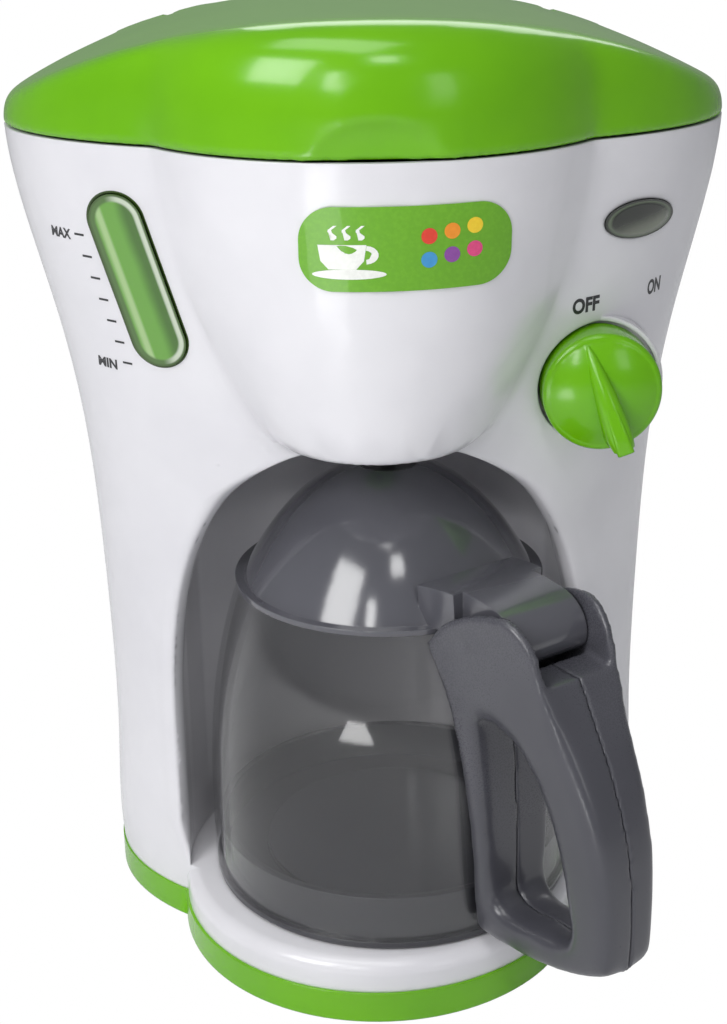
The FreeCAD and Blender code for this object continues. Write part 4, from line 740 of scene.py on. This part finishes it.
# Shapes refined from the frame
@dataclass(frozen=True)
class BayLip:
    """The rounded lip where the housing's front turns into the jug's bay, in millimetres."""

    half_width: float = 55.0
    spring: float = 60.0
    top: float = 150.0
    power: float = 2.5
    radius: float = 6.5
    fade_high: Pair = (130.0, 146.0)
    fade_low: Pair = (20.0, 32.0)
    deepest: float = 0.0
    spare: float = 3.0
    clear_of_edge: float = 0.9
    on_face: float = 0.8
    least_radius: float = 0.05
    least_away: float = 0.25
    ray_start: float = -300.0
    edge_limits: tuple[float, ...] = (12.0, 6.0, 3.0, 1.8)

    def outside(self, x: float, z: float) -> tuple[float, float, float]:
        """Where a place in the front view lies from the bay's outline.

        Args:
            x: Its X in millimetres.
            z: Its Z in millimetres.
        Returns:
            The distance outside the outline, and the X and Z of the direction away from it.
        """
        side = 1.0 if x >= 0 else -1.0
        if z <= self.spring:
            return abs(x) - self.half_width, side, 0.0
        rise = self.top - self.spring
        u, w = abs(x) / self.half_width, (z - self.spring) / rise
        total = (u ** self.power + w ** self.power) ** (1 / self.power)
        if total < 1e-6:
            return -self.half_width, side, 0.0
        gx = (u / total) ** (self.power - 1) / self.half_width
        gz = (w / total) ** (self.power - 1) / rise
        size = math.hypot(gx, gz)
        return (total - 1.0) / size, side * gx / size, gz / size

    def reach(self, z: float) -> float:
        """The rounding's radius: it fades out under the head and at the platform.

        Args:
            z: The height in millimetres.
        Returns:
            The radius in millimetres.
        """
        low = min(1.0, max(0.0, (z - self.fade_low[0]) / (self.fade_low[1] - self.fade_low[0])))
        high = min(1.0, max(0.0, (self.fade_high[1] - z) / (self.fade_high[1] - self.fade_high[0])))
        return self.radius * low * low * (3 - 2 * low) * high * high * (3 - 2 * high)

    def moved(self, tree: BVHTree, point: Vector) -> Optional[Vector]:
        """The rounded place of a point of the sharp lip.

        Args:
            tree: The sharp housing, for the depth of its front face beside the bay.
            point: The point in metres.
        Returns:
            The point's new place in metres, or nothing where it stays.
        """
        x, y, z = (c / MM for c in point)
        radius = self.reach(z)
        away, nx, nz = self.outside(x, z)
        if radius < self.least_radius or not -self.on_face < away < radius:
            return None
        step = max(0.0, self.clear_of_edge - away)
        start = Vector((x + nx * step, self.ray_start, z + nz * step)) * MM
        hit = tree.ray_cast(start, Vector((0, 1, 0)))[0]
        if hit is None:
            return None
        depth = y - hit.y / MM
        if abs(depth) < self.on_face and away > self.least_away:
            angle = math.radians(45 + 45 * away / radius)
        elif abs(away) <= self.on_face and -self.on_face < depth < radius:
            angle = math.radians(45 - 45 * max(0.0, depth) / radius)
        else:
            return None
        out = radius * (1 - math.cos(angle)) - away
        back = radius * (1 - math.sin(angle)) - depth
        return Vector((x + nx * out, y + back, z + nz * out)) * MM

    def near(self, point: Vector) -> bool:
        """Whether a point lies by the lip.

        Args:
            point: The point in metres.
        Returns:
            True where it does.
        """
        x, y, z = (c / MM for c in point)
        away = self.outside(x, z)[0]
        return -self.spare < away < self.radius + self.spare and y < self.deepest and z < self.top

    def round_off(self, bm: bmesh.types.BMesh) -> None:
        """Divides the mesh finely by the lip and bends both faces into the rounding.

        Args:
            bm: The mesh to change.
        """
        tree = BVHTree.FromBMesh(bm)
        for limit in self.edge_limits:
            long = [e for e in bm.edges if e.calc_length() > limit * MM
                    and (self.near(e.verts[0].co) or self.near(e.verts[1].co)
                         or self.near((e.verts[0].co + e.verts[1].co) / 2))]
            bmesh.ops.subdivide_edges(bm, edges=long, cuts=1)
            bmesh.ops.triangulate(bm, faces=[f for f in bm.faces if len(f.verts) > 3])
        places = [(v, self.moved(tree, v.co)) for v in bm.verts]
        for vert, place in places:
            if place is not None:
                vert.co = place


@dataclass(frozen=True)
class Softened:
    """Copies of sharp CAD pieces with their edges rounded by remeshing and relaxing."""

    voxel: float
    rounds: int

    def remeshed(self, node: str, change: Optional[MeshChange] = None) -> bpy.types.Mesh:
        """An even mesh of a node.

        Args:
            node: The CAD node.
            change: Optional work on the merged mesh before it is remeshed.
        Returns:
            The new mesh.
        """
        bm = node_mesh(node)
        if change:
            change(bm)
        obj = add_object(node + "_even", finished_mesh(node + "_even", bm))
        modifier = obj.modifiers.new("even", "REMESH")
        modifier.mode = "VOXEL"
        modifier.voxel_size = self.voxel * MM
        return evaluated_mesh(obj)

    def relax(self, mesh: bpy.types.Mesh, weight: Callable[[np.ndarray], np.ndarray]) -> None:
        """Moves each vertex towards its neighbours, by a weight that may differ over the piece.

        Args:
            mesh: The mesh to relax.
            weight: Gives each vertex's share of the move from an array of places in millimetres.
        """
        count = len(mesh.vertices)
        places = np.empty(count * 3)
        mesh.vertices.foreach_get("co", places)
        places = places.reshape(-1, 3)
        pairs = np.empty(len(mesh.edges) * 2, dtype=np.int64)
        mesh.edges.foreach_get("vertices", pairs)
        pairs = pairs.reshape(-1, 2)
        links = np.bincount(pairs.ravel(), minlength=count)[:, None]
        share = weight(places / MM)[:, None]
        for _ in range(self.rounds):
            total = np.zeros_like(places)
            np.add.at(total, pairs[:, 0], places[pairs[:, 1]])
            np.add.at(total, pairs[:, 1], places[pairs[:, 0]])
            places += share * (total / np.maximum(links, 1) - places)
        mesh.vertices.foreach_set("co", places.ravel())
        mesh.update()
        for polygon in mesh.polygons:
            polygon.use_smooth = True


# Printed marks
class Print:
    """Printed marks that lie on the curved front."""

    RAY_START = -0.3
    LONG_EDGE = 0.0015
    FATTER = 0.04

    def __init__(self, surface: bpy.types.Object, proud: float = 0.00006) -> None:
        """Reads the surface that the marks lie on.

        Args:
            surface: The piece under the marks.
            proud: How far the marks stand off it, in metres.
        """
        self.tree = BVHTree.FromPolygons([v.co for v in surface.data.vertices],
                                         [tuple(p.vertices) for p in surface.data.polygons])
        self.proud = proud

    def depth(self, x: float, z: float) -> float:
        """The surface's Y at a place seen from the front, in metres."""
        hit = self.tree.ray_cast(Vector((x, self.RAY_START, z)), Vector((0, 1, 0)))[0]
        return (hit.y if hit else 0.0) - self.proud

    def lay(self, mesh: bpy.types.Mesh) -> None:
        """Presses a flat mesh drawn in X and Z on the surface.

        Args:
            mesh: The mesh to move.
        """
        for vertex in mesh.vertices:
            vertex.co.y = self.depth(vertex.co.x, vertex.co.z) + vertex.co.y

    def word(self, text: str, centre: Pair, size: Pair, material: bpy.types.Material,
             lean: float) -> bpy.types.Object:
        """A printed word.

        Args:
            text: The word.
            centre: X and Z of its middle, in millimetres.
            size: Its width and cap height, in millimetres.
            material: The ink.
            lean: How far it climbs for each millimetre to the right.
        Returns:
            The new piece.
        """
        curve = bpy.data.curves.new("word_" + text.lower(), "FONT")
        curve.body = text
        curve.offset = self.FATTER
        curve.resolution_u = 6
        source = bpy.data.objects.new("word_source", curve)
        bpy.context.scene.collection.objects.link(source)
        mesh = evaluated_mesh(source)
        flat = np.array([v.co[:2] for v in mesh.vertices])
        low, high = flat.min(0), flat.max(0)
        for vertex in mesh.vertices:
            u = ((vertex.co.x - low[0]) / (high[0] - low[0]) - 0.5) * size[0]
            w = ((vertex.co.y - low[1]) / (high[1] - low[1]) - 0.5) * size[1]
            vertex.co = Vector((centre[0] + u, 0, centre[1] + w + u * lean)) * MM
        self.lay(mesh)
        return add_object("mark_" + text.lower(), mesh, material)

    def patch(self, name: str, outline: Sequence[Pair], material: bpy.types.Material) -> bpy.types.Object:
        """A filled printed shape.

        Args:
            name: The piece's name.
            outline: X and Z of its corners, in millimetres.
            material: The ink.
        Returns:
            The new piece.
        """
        bm = bmesh.new()
        bm.faces.new([bm.verts.new(Vector((x, 0, z)) * MM) for x, z in outline])
        bmesh.ops.triangulate(bm, faces=bm.faces)
        long = [e for e in bm.edges if e.calc_length() > self.LONG_EDGE]
        bmesh.ops.subdivide_edges(bm, edges=long, cuts=3)
        for vert in bm.verts:
            vert.co.y = self.depth(vert.co.x, vert.co.z)
        soften(bm, 60)
        return add_object(name, finished_mesh(name, bm), material)


def oval_points(x: float, z: float, half_x: float, half_z: float, count: int = 28) -> list[Pair]:
    """Outline of an oval, in millimetres.

    Args:
        x: X of its middle.
        z: Z of its middle.
        half_x: Half its width.
        half_z: Half its height.
        count: How many points.
    Returns:
        The points.
    """
    return [(x + half_x * math.cos(2 * math.pi * i / count), z + half_z * math.sin(2 * math.pi * i / count))
            for i in range(count)]


class MarkRow:
    """A row of equal marks made with geometry nodes."""

    INPUTS = {"Count": "NodeSocketInt", "Start": "NodeSocketVector", "End": "NodeSocketVector",
              "Width": "NodeSocketFloat", "Height": "NodeSocketFloat", "Finish": "NodeSocketMaterial"}

    def __init__(self) -> None:
        """Builds the tree: a flat grid on each point of a line."""
        tree = bpy.data.node_groups.new("mark_row", "GeometryNodeTree")
        self.tree = tree
        self.sockets = {label: tree.interface.new_socket(label, in_out="INPUT", socket_type=kind).identifier
                        for label, kind in self.INPUTS.items()}
        tree.interface.new_socket("Marks", in_out="OUTPUT", socket_type="NodeSocketGeometry")
        given = add_node(tree, "NodeGroupInput").outputs
        line = add_node(tree, "GeometryNodeMeshLine", {
            "Count": given["Count"], "Start Location": given["Start"], "Offset": given["End"]},
            mode="END_POINTS")
        grid = add_node(tree, "GeometryNodeMeshGrid", {
            "Vertices X": 4, "Size X": given["Width"], "Size Y": given["Height"]})
        spread = add_node(tree, "GeometryNodeInstanceOnPoints", {
            "Points": line.outputs[0], "Instance": grid.outputs[0]})
        real = add_node(tree, "GeometryNodeRealizeInstances", {0: spread.outputs[0]})
        finish = add_node(tree, "GeometryNodeSetMaterial", {
            "Geometry": real.outputs[0], "Material": given["Finish"]})
        add_node(tree, "NodeGroupOutput", {0: finish.outputs[0]})

    def make(self, name: str, count: int, ends: tuple[Pair, Pair], size: Pair,
             material: bpy.types.Material) -> bpy.types.Mesh:
        """A flat mesh of marks in X and Z.

        Args:
            name: The mesh's name.
            count: How many marks.
            ends: X and Z of the first and the last mark, in millimetres.
            size: Width and height of a mark, in millimetres.
            material: The ink.
        Returns:
            The mesh.
        """
        obj = add_object(name + "_source", bpy.data.meshes.new(name + "_source"))
        modifier = obj.modifiers.new("marks", "NODES")
        modifier.node_group = self.tree
        (start_x, start_z), (end_x, end_z) = ends
        values = {"Count": count, "Start": (start_x * MM, start_z * MM, 0.0),
                  "End": (end_x * MM, end_z * MM, 0.0),
                  "Width": size[0] * MM, "Height": size[1] * MM, "Finish": material}
        for label, value in values.items():
            modifier[self.sockets[label]] = value
        obj.update_tag()
        mesh = evaluated_mesh(obj)
        for vertex in mesh.vertices:
            vertex.co = Vector((vertex.co.x, 0.0, vertex.co.y))
        mesh.name = name
        return mesh


# The toy
class Housing:
    """White shells with the rounded bay lip, the green base, tank and outlet."""

    CREASE = 28.0
    PLAIN = {
        "rear_shell": (Look.WHITE, "white_plastic"), "top_deck": (Look.WHITE, "white_plastic"),
        "battery_door": (Look.WHITE, "white_plastic"), "battery_box": (Look.WHITE, "white_plastic"),
        "base_plate": (Look.GREEN, "green_plastic"), "drip_nozzle": (Look.GREEN, "green_plastic"),
        "water_tank": (Look.GREEN_TANK, "green_tank"),
    }

    def build(self) -> bpy.types.Object:
        """Makes the pieces and returns the front shell."""
        for node, (look, slot) in self.PLAIN.items():
            replace(refined(node, PAINT.moulded(look), self.CREASE), "housing", slot, node)
        front = refined("front_shell", PAINT.front_white(), self.CREASE, BayLip().round_off)
        return replace(front, "housing", "white_plastic", "front_shell")


@dataclass(frozen=True)
class TopLid:
    """The green lid with its upper edges rounded and a shallow thumb scoop, in millimetres."""

    rim_z: float = 226.5
    full_z: float = 231.0
    hinge_y: float = 63.0
    hinge_fade: float = 4.0
    head_radius: float = 64.3
    head_front: float = -57.0
    scoop_half: float = 18.5
    scoop_top: float = 236.0
    scoop_back: float = -44.0
    scoop_skin: float = 0.05
    scoop_share: float = 0.45
    scoop_rounding: float = 0.12
    rounding: float = 0.55
    softened: Softened = Softened(voxel=1.2, rounds=46)

    def build(self) -> None:
        """Makes the lid."""
        mesh = self.softened.remeshed("top_lid")
        self._shallow_scoop(mesh)
        self.softened.relax(mesh, self._weight)
        skin = add_object("top_lid_skin", mesh, PAINT.moulded(Look.GREEN))
        replace(skin, "lid", "green_lid", "top_lid")

    def _shallow_scoop(self, mesh: bpy.types.Mesh) -> None:
        """Draws the scoop's floor forward, so that it is a shallow dent.

        Args:
            mesh: The lid's mesh.
        """
        for vertex in mesh.vertices:
            x, y, z = (c / MM for c in vertex.co)
            if abs(x) > self.scoop_half or z > self.scoop_top or y > self.scoop_back:
                continue
            front = self.head_front + self.head_radius - math.sqrt(self.head_radius ** 2 - x * x)
            if y - front > self.scoop_skin:
                vertex.co.y = (front + (y - front) * self.scoop_share) * MM

    def _weight(self, places: np.ndarray) -> np.ndarray:
        """Each vertex's share: none at the rim and the hinges, little in the scoop, full on the crown.

        Args:
            places: The vertices' places in millimetres.
        Returns:
            A share for each.
        """
        x, y, z = places[:, 0], places[:, 1], places[:, 2]
        rim = np.clip((z - self.rim_z) / (self.full_z - self.rim_z), 0.0, 1.0)
        hinge = np.clip((self.hinge_y - y) / self.hinge_fade, 0.0, 1.0)
        scoop = (np.abs(x) < self.scoop_half + 1) & (z < self.scoop_top) & (y < self.scoop_back)
        return self.rounding * rim * hinge * np.where(scoop, self.scoop_rounding, 1.0)


@dataclass(frozen=True)
class Blade:
    """The knob's pointer blade in the knob's own frame, in millimetres.

    A section gives the place along the blade, the half width and the height.
    """

    sections: tuple[tuple[float, float, float], ...] = (
        (13.3, 0.7, 12.6), (11.0, 1.3, 14.3), (6.0, 2.0, 16.6), (0.0, 2.6, 18.8), (-6.0, 3.1, 20.4),
        (-10.5, 3.2, 21.2), (-13.6, 2.7, 21.4))
    foot: float = 11.6
    sunk: float = 1.5
    flare: float = 0.9
    swell: float = 0.25
    swell_up: float = 0.35
    shoulder: float = 1.5
    crown: float = 0.45
    end_bevel: float = 0.5

    def half_ring(self, half: float, high: float) -> list[Pair]:
        """One side of a section.

        Args:
            half: The half width in millimetres.
            high: The height in millimetres.
        Returns:
            The points from the foot to the ridge.
        """
        return [(half + self.flare, self.foot - self.sunk),
                (half + self.swell, self.foot + (high - self.foot) * self.swell_up),
                (half, high - self.shoulder), (half * 0.72, high - self.crown), (half * 0.3, high)]

    def mesh(self) -> bpy.types.Mesh:
        """A fin with a crowned ridge, wider and higher to its lower end."""
        bm = bmesh.new()
        rings = []
        for along, half, high in self.sections:
            right = self.half_ring(half, high)
            ring = [(-x, z) for x, z in right] + right[::-1]
            rings.append([bm.verts.new(Vector((x, along, z)) * MM) for x, z in ring])
        for low, high in zip(rings, rings[1:]):
            for i in range(len(low)):
                j = (i + 1) % len(low)
                bm.faces.new((low[i], low[j], high[j], high[i]))
        bm.faces.new(rings[0])
        bm.faces.new(list(reversed(rings[-1])))
        bmesh.ops.recalc_face_normals(bm, faces=bm.faces)
        ends = [e for e in bm.edges if all(v in rings[-1] for v in e.verts)]
        bmesh.ops.bevel(bm, geom=ends, offset=self.end_bevel * MM, segments=3, affect="EDGES", profile=0.5)
        soften(bm, 50)
        return finished_mesh("knob_blade", bm)


@dataclass(frozen=True)
class Knob:
    """The green knob with its pointer blade, in millimetres and degrees."""

    place: tuple[float, float, float] = (57.2, -19.0, 161.5)
    rest: float = 19.5

    def build(self) -> None:
        """Makes the knob and the fuller blade over its fin."""
        green = PAINT.moulded(Look.GREEN)
        replace(refined("knob", green, 26), "knob", "green_knob", "knob")
        blade = Blade().mesh()
        turn = Matrix.Rotation(math.radians(-self.rest), 4, "Y") @ Matrix.Rotation(math.radians(90), 4, "X")
        blade.transform(Matrix.Translation(Vector(self.place) * MM) @ turn)
        replace(add_object("knob_blade", blade, green), "knob", "green_knob")


@dataclass(frozen=True)
class JugFrame:
    """The jug's own axes: its middle and the direction of its handle, in millimetres and degrees."""

    x: float = 3.3
    y: float = -9.8
    turn: float = -57.0

    def local(self, places: np.ndarray) -> tuple[np.ndarray, np.ndarray, np.ndarray]:
        """Turns places into the jug's own axes.

        Args:
            places: The places in millimetres.
        Returns:
            The distance out to the handle, the distance to its side, and the height.
        """
        dx, dy = places[:, 0] - self.x, places[:, 1] - self.y
        cos, sin = math.cos(math.radians(self.turn)), math.sin(math.radians(self.turn))
        return dx * cos + dy * sin, dy * cos - dx * sin, places[:, 2]

    def world(self, out: float, across: float, up: float) -> Vector:
        """Turns a place on the jug's axes into one on the frame's.

        Args:
            out: Distance out to the handle, in millimetres.
            across: Distance to its side.
            up: Height.
        Returns:
            The place in metres.
        """
        cos, sin = math.cos(math.radians(self.turn)), math.sin(math.radians(self.turn))
        return Vector((self.x + out * cos - across * sin, self.y + out * sin + across * cos, up)) * MM


@dataclass(frozen=True)
class Handle:
    """The jug's handle in two halves with rounded edges, in millimetres on the jug's own axes."""

    axes: JugFrame = JugFrame()
    pin_out: float = 55.0
    pin_up: float = 110.0
    pin_search: float = 5.0
    plug_radius: float = 2.1
    plug_length: float = 1.6
    plug_depth: float = 1.1
    rounding: float = 0.55
    seam_half: float = 0.5
    seam_fade: float = 2.0
    cheek_up: float = 92.0
    cheek_fade: float = 8.0
    cheek_loss: float = 0.85
    slot_up: float = 86.0
    slot_out: float = 76.0
    slot_margin: float = 1.3
    root_out: float = 40.0
    tip_out: float = 100.0
    root_half: Pair = (9.0, 0.075)
    tip_half: Pair = (6.7, 0.036)
    softened: Softened = Softened(voxel=0.8, rounds=64)

    def build(self, side: str) -> None:
        """Makes one half.

        Args:
            side: "left" or "right".
        """
        name = "jug_handle_" + side
        mesh = self.softened.remeshed(name, self._fill_pin_hole)
        self.softened.relax(mesh, self._weight)
        replace(add_object(name + "_skin", mesh, PAINT.moulded(Look.GREY)), "jug", "grey_handle", name)

    def _fill_pin_hole(self, bm: bmesh.types.BMesh) -> None:
        """Closes the blind end of the pin's hole in the cheek with a plug under its surface.

        Args:
            bm: The mesh of one half.
        """
        places = np.array([v.co for v in bm.verts]) / MM
        out, across, up = self.axes.local(places)
        near = (np.abs(out - self.pin_out) < self.pin_search) & (np.abs(up - self.pin_up) < self.pin_search)
        outer = np.abs(across[near]).max()
        side = 1.0 if across[near].mean() > 0 else -1.0
        place = self.axes.world(self.pin_out, side * (outer - self.plug_depth), self.pin_up)
        lying = Matrix.Rotation(math.radians(90), 4, "X")
        turn = Matrix.Rotation(math.radians(self.axes.turn), 4, "Z") @ lying
        radius = self.plug_radius * MM
        bmesh.ops.create_cone(bm, cap_ends=True, segments=24, radius1=radius, radius2=radius,
                              depth=self.plug_length * MM, matrix=Matrix.Translation(place) @ turn)

    def _weight(self, places: np.ndarray) -> np.ndarray:
        """Each vertex's share: full on the grip, little on the cheeks, none at the seam and the slot.

        Args:
            places: The vertices' places in millimetres.
        Returns:
            A share for each.
        """
        out, across, up = self.axes.local(places)
        seam = np.clip((np.abs(across) - self.seam_half) / self.seam_fade, 0.0, 1.0)
        cheeks = 1.0 - self.cheek_loss * np.clip((up - self.cheek_up) / self.cheek_fade, 0.0, 1.0)
        root = self.root_half[0] + up * self.root_half[1]
        tip = self.tip_half[0] + up * self.tip_half[1]
        half = root - (root - tip) * (out - self.root_out) / (self.tip_out - self.root_out)
        slot = (up > self.slot_up) & (out < self.slot_out) & (np.abs(across) < half - self.slot_margin)
        return self.rounding * seam * cheeks * np.where(slot, 0.0, 1.0)


class Jug:
    """Clear jug with its grey cup, lid and rounded handle."""

    CREASE = 30.0
    LID = {"jug_lid": (Look.DOME, "grey_dome"), "jug_lid_vent": (Look.DARK, "dark_plastic")}

    def build(self) -> None:
        """Makes the jug's pieces."""
        clear = PAINT.clear("jug_clear", (247, 247, 247), roughness=0.02, haze=0.045)
        replace(refined("jug_glass", clear, 40), "jug", "clear_plastic", "jug_glass")
        cup = refined("jug_base", PAINT.moulded(Look.CUP), self.CREASE)
        replace(cup, "jug", "grey_cup", "jug_base")
        for side in ("left", "right"):
            Handle().build(side)
        for node, (look, slot) in self.LID.items():
            replace(refined(node, PAINT.moulded(look), self.CREASE), "jug_lid", slot, node)


@dataclass(frozen=True)
class Label:
    """The generic label on the brew head: a steaming cup and six dots, in millimetres."""

    x: float = -8.6
    z: float = 203.6
    dots_x: float = 11.5
    dots_z: float = 207.6
    dot_step: Pair = (5.4, 5.6)
    dot_climb: float = 0.9
    dot_radius: float = 1.9
    steam: tuple[float, ...] = (-2.6, 0.6, 3.8)
    dots: tuple[Colour, ...] = ((228, 60, 40), (246, 150, 30), (250, 212, 40), (60, 150, 210),
                                (140, 70, 160), (228, 70, 130))

    def build(self) -> None:
        """Makes the green film and the marks on it."""
        film = refined("front_label", PAINT.ink("label_green", (104, 172, 18)), 40)
        replace(film, "housing", "label_film", "front_label")
        ink = Print(film, 0.00008)
        white = PAINT.ink("label_white", (240, 242, 236))
        outlines = {"label_plate": oval_points(self.x + 1.6, self.z - 4.6, 8.6, 1.2),
                    "label_cup": self._cup(), "label_ear": self._ear()}
        for number, shift in enumerate(self.steam):
            outlines[f"label_steam_{number}"] = self._wisp(shift)
        pieces = [ink.patch(name, outline, white) for name, outline in outlines.items()]
        for number, colour in enumerate(self.dots):
            row, column = divmod(number, 3)
            spot = (self.dots_x + self.dot_step[0] * column,
                    self.dots_z - self.dot_step[1] * row + self.dot_climb * column)
            name = f"label_dot_{number}"
            outline = oval_points(*spot, self.dot_radius, self.dot_radius)
            pieces.append(ink.patch(name, outline, PAINT.ink(name, colour)))
        for piece in pieces:
            replace(piece, "housing", "label_film")

    def _cup(self) -> list[Pair]:
        """Outline of the cup, wide at its mouth."""
        side = ((5.6, 2.4), (5.0, -1.4), (3.2, -3.4))
        return ([(self.x - dx, self.z + dz) for dx, dz in side]
                + [(self.x + dx, self.z + dz) for dx, dz in reversed(side)])

    def _ear(self) -> list[Pair]:
        """Outline of the cup's ear, out along its outer arc and back along the inner one."""
        outer = [(self.x + 5.4 + 3.0 * math.cos(a), self.z + 2.2 * math.sin(a))
                 for a in np.linspace(1.5, -1.5, 10)]
        inner = [(self.x + 5.2 + 1.7 * math.cos(a), self.z + 1.1 * math.sin(a))
                 for a in np.linspace(-1.4, 1.4, 8)]
        return outer + inner

    def _wisp(self, shift: float) -> list[Pair]:
        """Outline of one curl of steam.

        Args:
            shift: Its place along the cup.
        Returns:
            The points.
        """
        left = [(self.x + shift + 0.7 * math.sin(h * 2.2), self.z + 3.5 + h)
                for h in np.linspace(0, 3.4, 8)]
        return left + [(x + 0.8, z) for x, z in reversed(left)]


@dataclass(frozen=True)
class Windows:
    """The level window, the lamp's lens and the printed marks, in millimetres.

    A word is its text, its middle, its width and height, and how much it climbs.
    """

    tick_ends: tuple[Pair, Pair] = ((-73.7, 201.0), (-63.6, 167.6))
    tick_size: Pair = (2.6, 0.6)
    tick_count: int = 7
    words: tuple[tuple[str, Pair, Pair, float], ...] = (
        ("OFF", (53.4, 182.6), (7.4, 4.2), 0.05), ("ON", (73.5, 183.8), (4.1, 4.3), 0.12),
        ("MAX", (-78.9, 200.6), (5.6, 2.8), 0.0), ("MIN", (-69.3, 166.4), (5.4, 2.8), 0.0))

    def build(self, front: bpy.types.Object) -> None:
        """Makes the windows and the marks on the front shell.

        Args:
            front: The front shell.
        """
        gauge = refined("gauge_lens", PAINT.gauge_lens(), 40)
        replace(gauge, "housing", "clear_lens", "gauge_lens")
        lamp = refined("indicator_lens", PAINT.lamp_lens(), 40)
        replace(lamp, "housing", "dark_lens", "indicator_lens")
        ink = Print(front)
        black = PAINT.ink("ink_black", (34, 34, 38))
        for text, centre, size, lean in self.words:
            replace(ink.word(text, centre, size, black, lean), "housing", "label_film")
        ticks = MarkRow().make("level_ticks", self.tick_count, self.tick_ends, self.tick_size, black)
        ink.lay(ticks)
        replace(add_object("level_ticks", ticks), "housing", "label_film")


class Insides:
    """Finishes of the pieces inside, which keep their frame shapes."""

    LOOKS = {
        Look.INNER: ("valve_slider", "knob_crank", "switch_lever"),
        Look.DARK: ("power_switch", "board_chip"),
        Look.BOARD: ("circuit_board",),
        Look.LAMP: ("indicator_led",),
        Look.CONE: ("speaker_cone",),
        Look.MAGNET: ("speaker_magnet",),
        Look.JACKET: ("battery_cells",),
        Look.CONTACT: ("battery_contacts", "battery_springs"),
        Look.STEEL: ("speaker_frame", "battery_door_screw", "housing_screws", "base_screws", "board_screws",
                     "knob_screw", "lid_hinge_pins", "jug_handle_screws"),
        Look.GREY: ("jug_hinge_pin",),
    }

    def build(self) -> None:
        """Gives each inner node its finish."""
        for look, nodes in self.LOOKS.items():
            for node in nodes:
                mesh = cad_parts[node].data
                mesh.materials.clear()
                mesh.materials.append(PAINT.moulded(look))


def main() -> None:
    """Builds the scene, one sub-assembly after another."""
    logging.basicConfig(level=logging.INFO)
    bpy.context.scene.view_settings.view_transform = "Standard"
    Viewpoint().build()
    Studio().build()
    LOG.info("camera and studio built")
    front = Housing().build()
    LOG.info("housing built")
    TopLid().build()
    LOG.info("lid built")
    Knob().build()
    LOG.info("knob built")
    Jug().build()
    LOG.info("jug built")
    Windows().build(front)
    Label().build()
    LOG.info("windows and prints built")
    Insides().build()
    LOG.info("inner pieces finished")


if __name__ == "__main__":
    main()
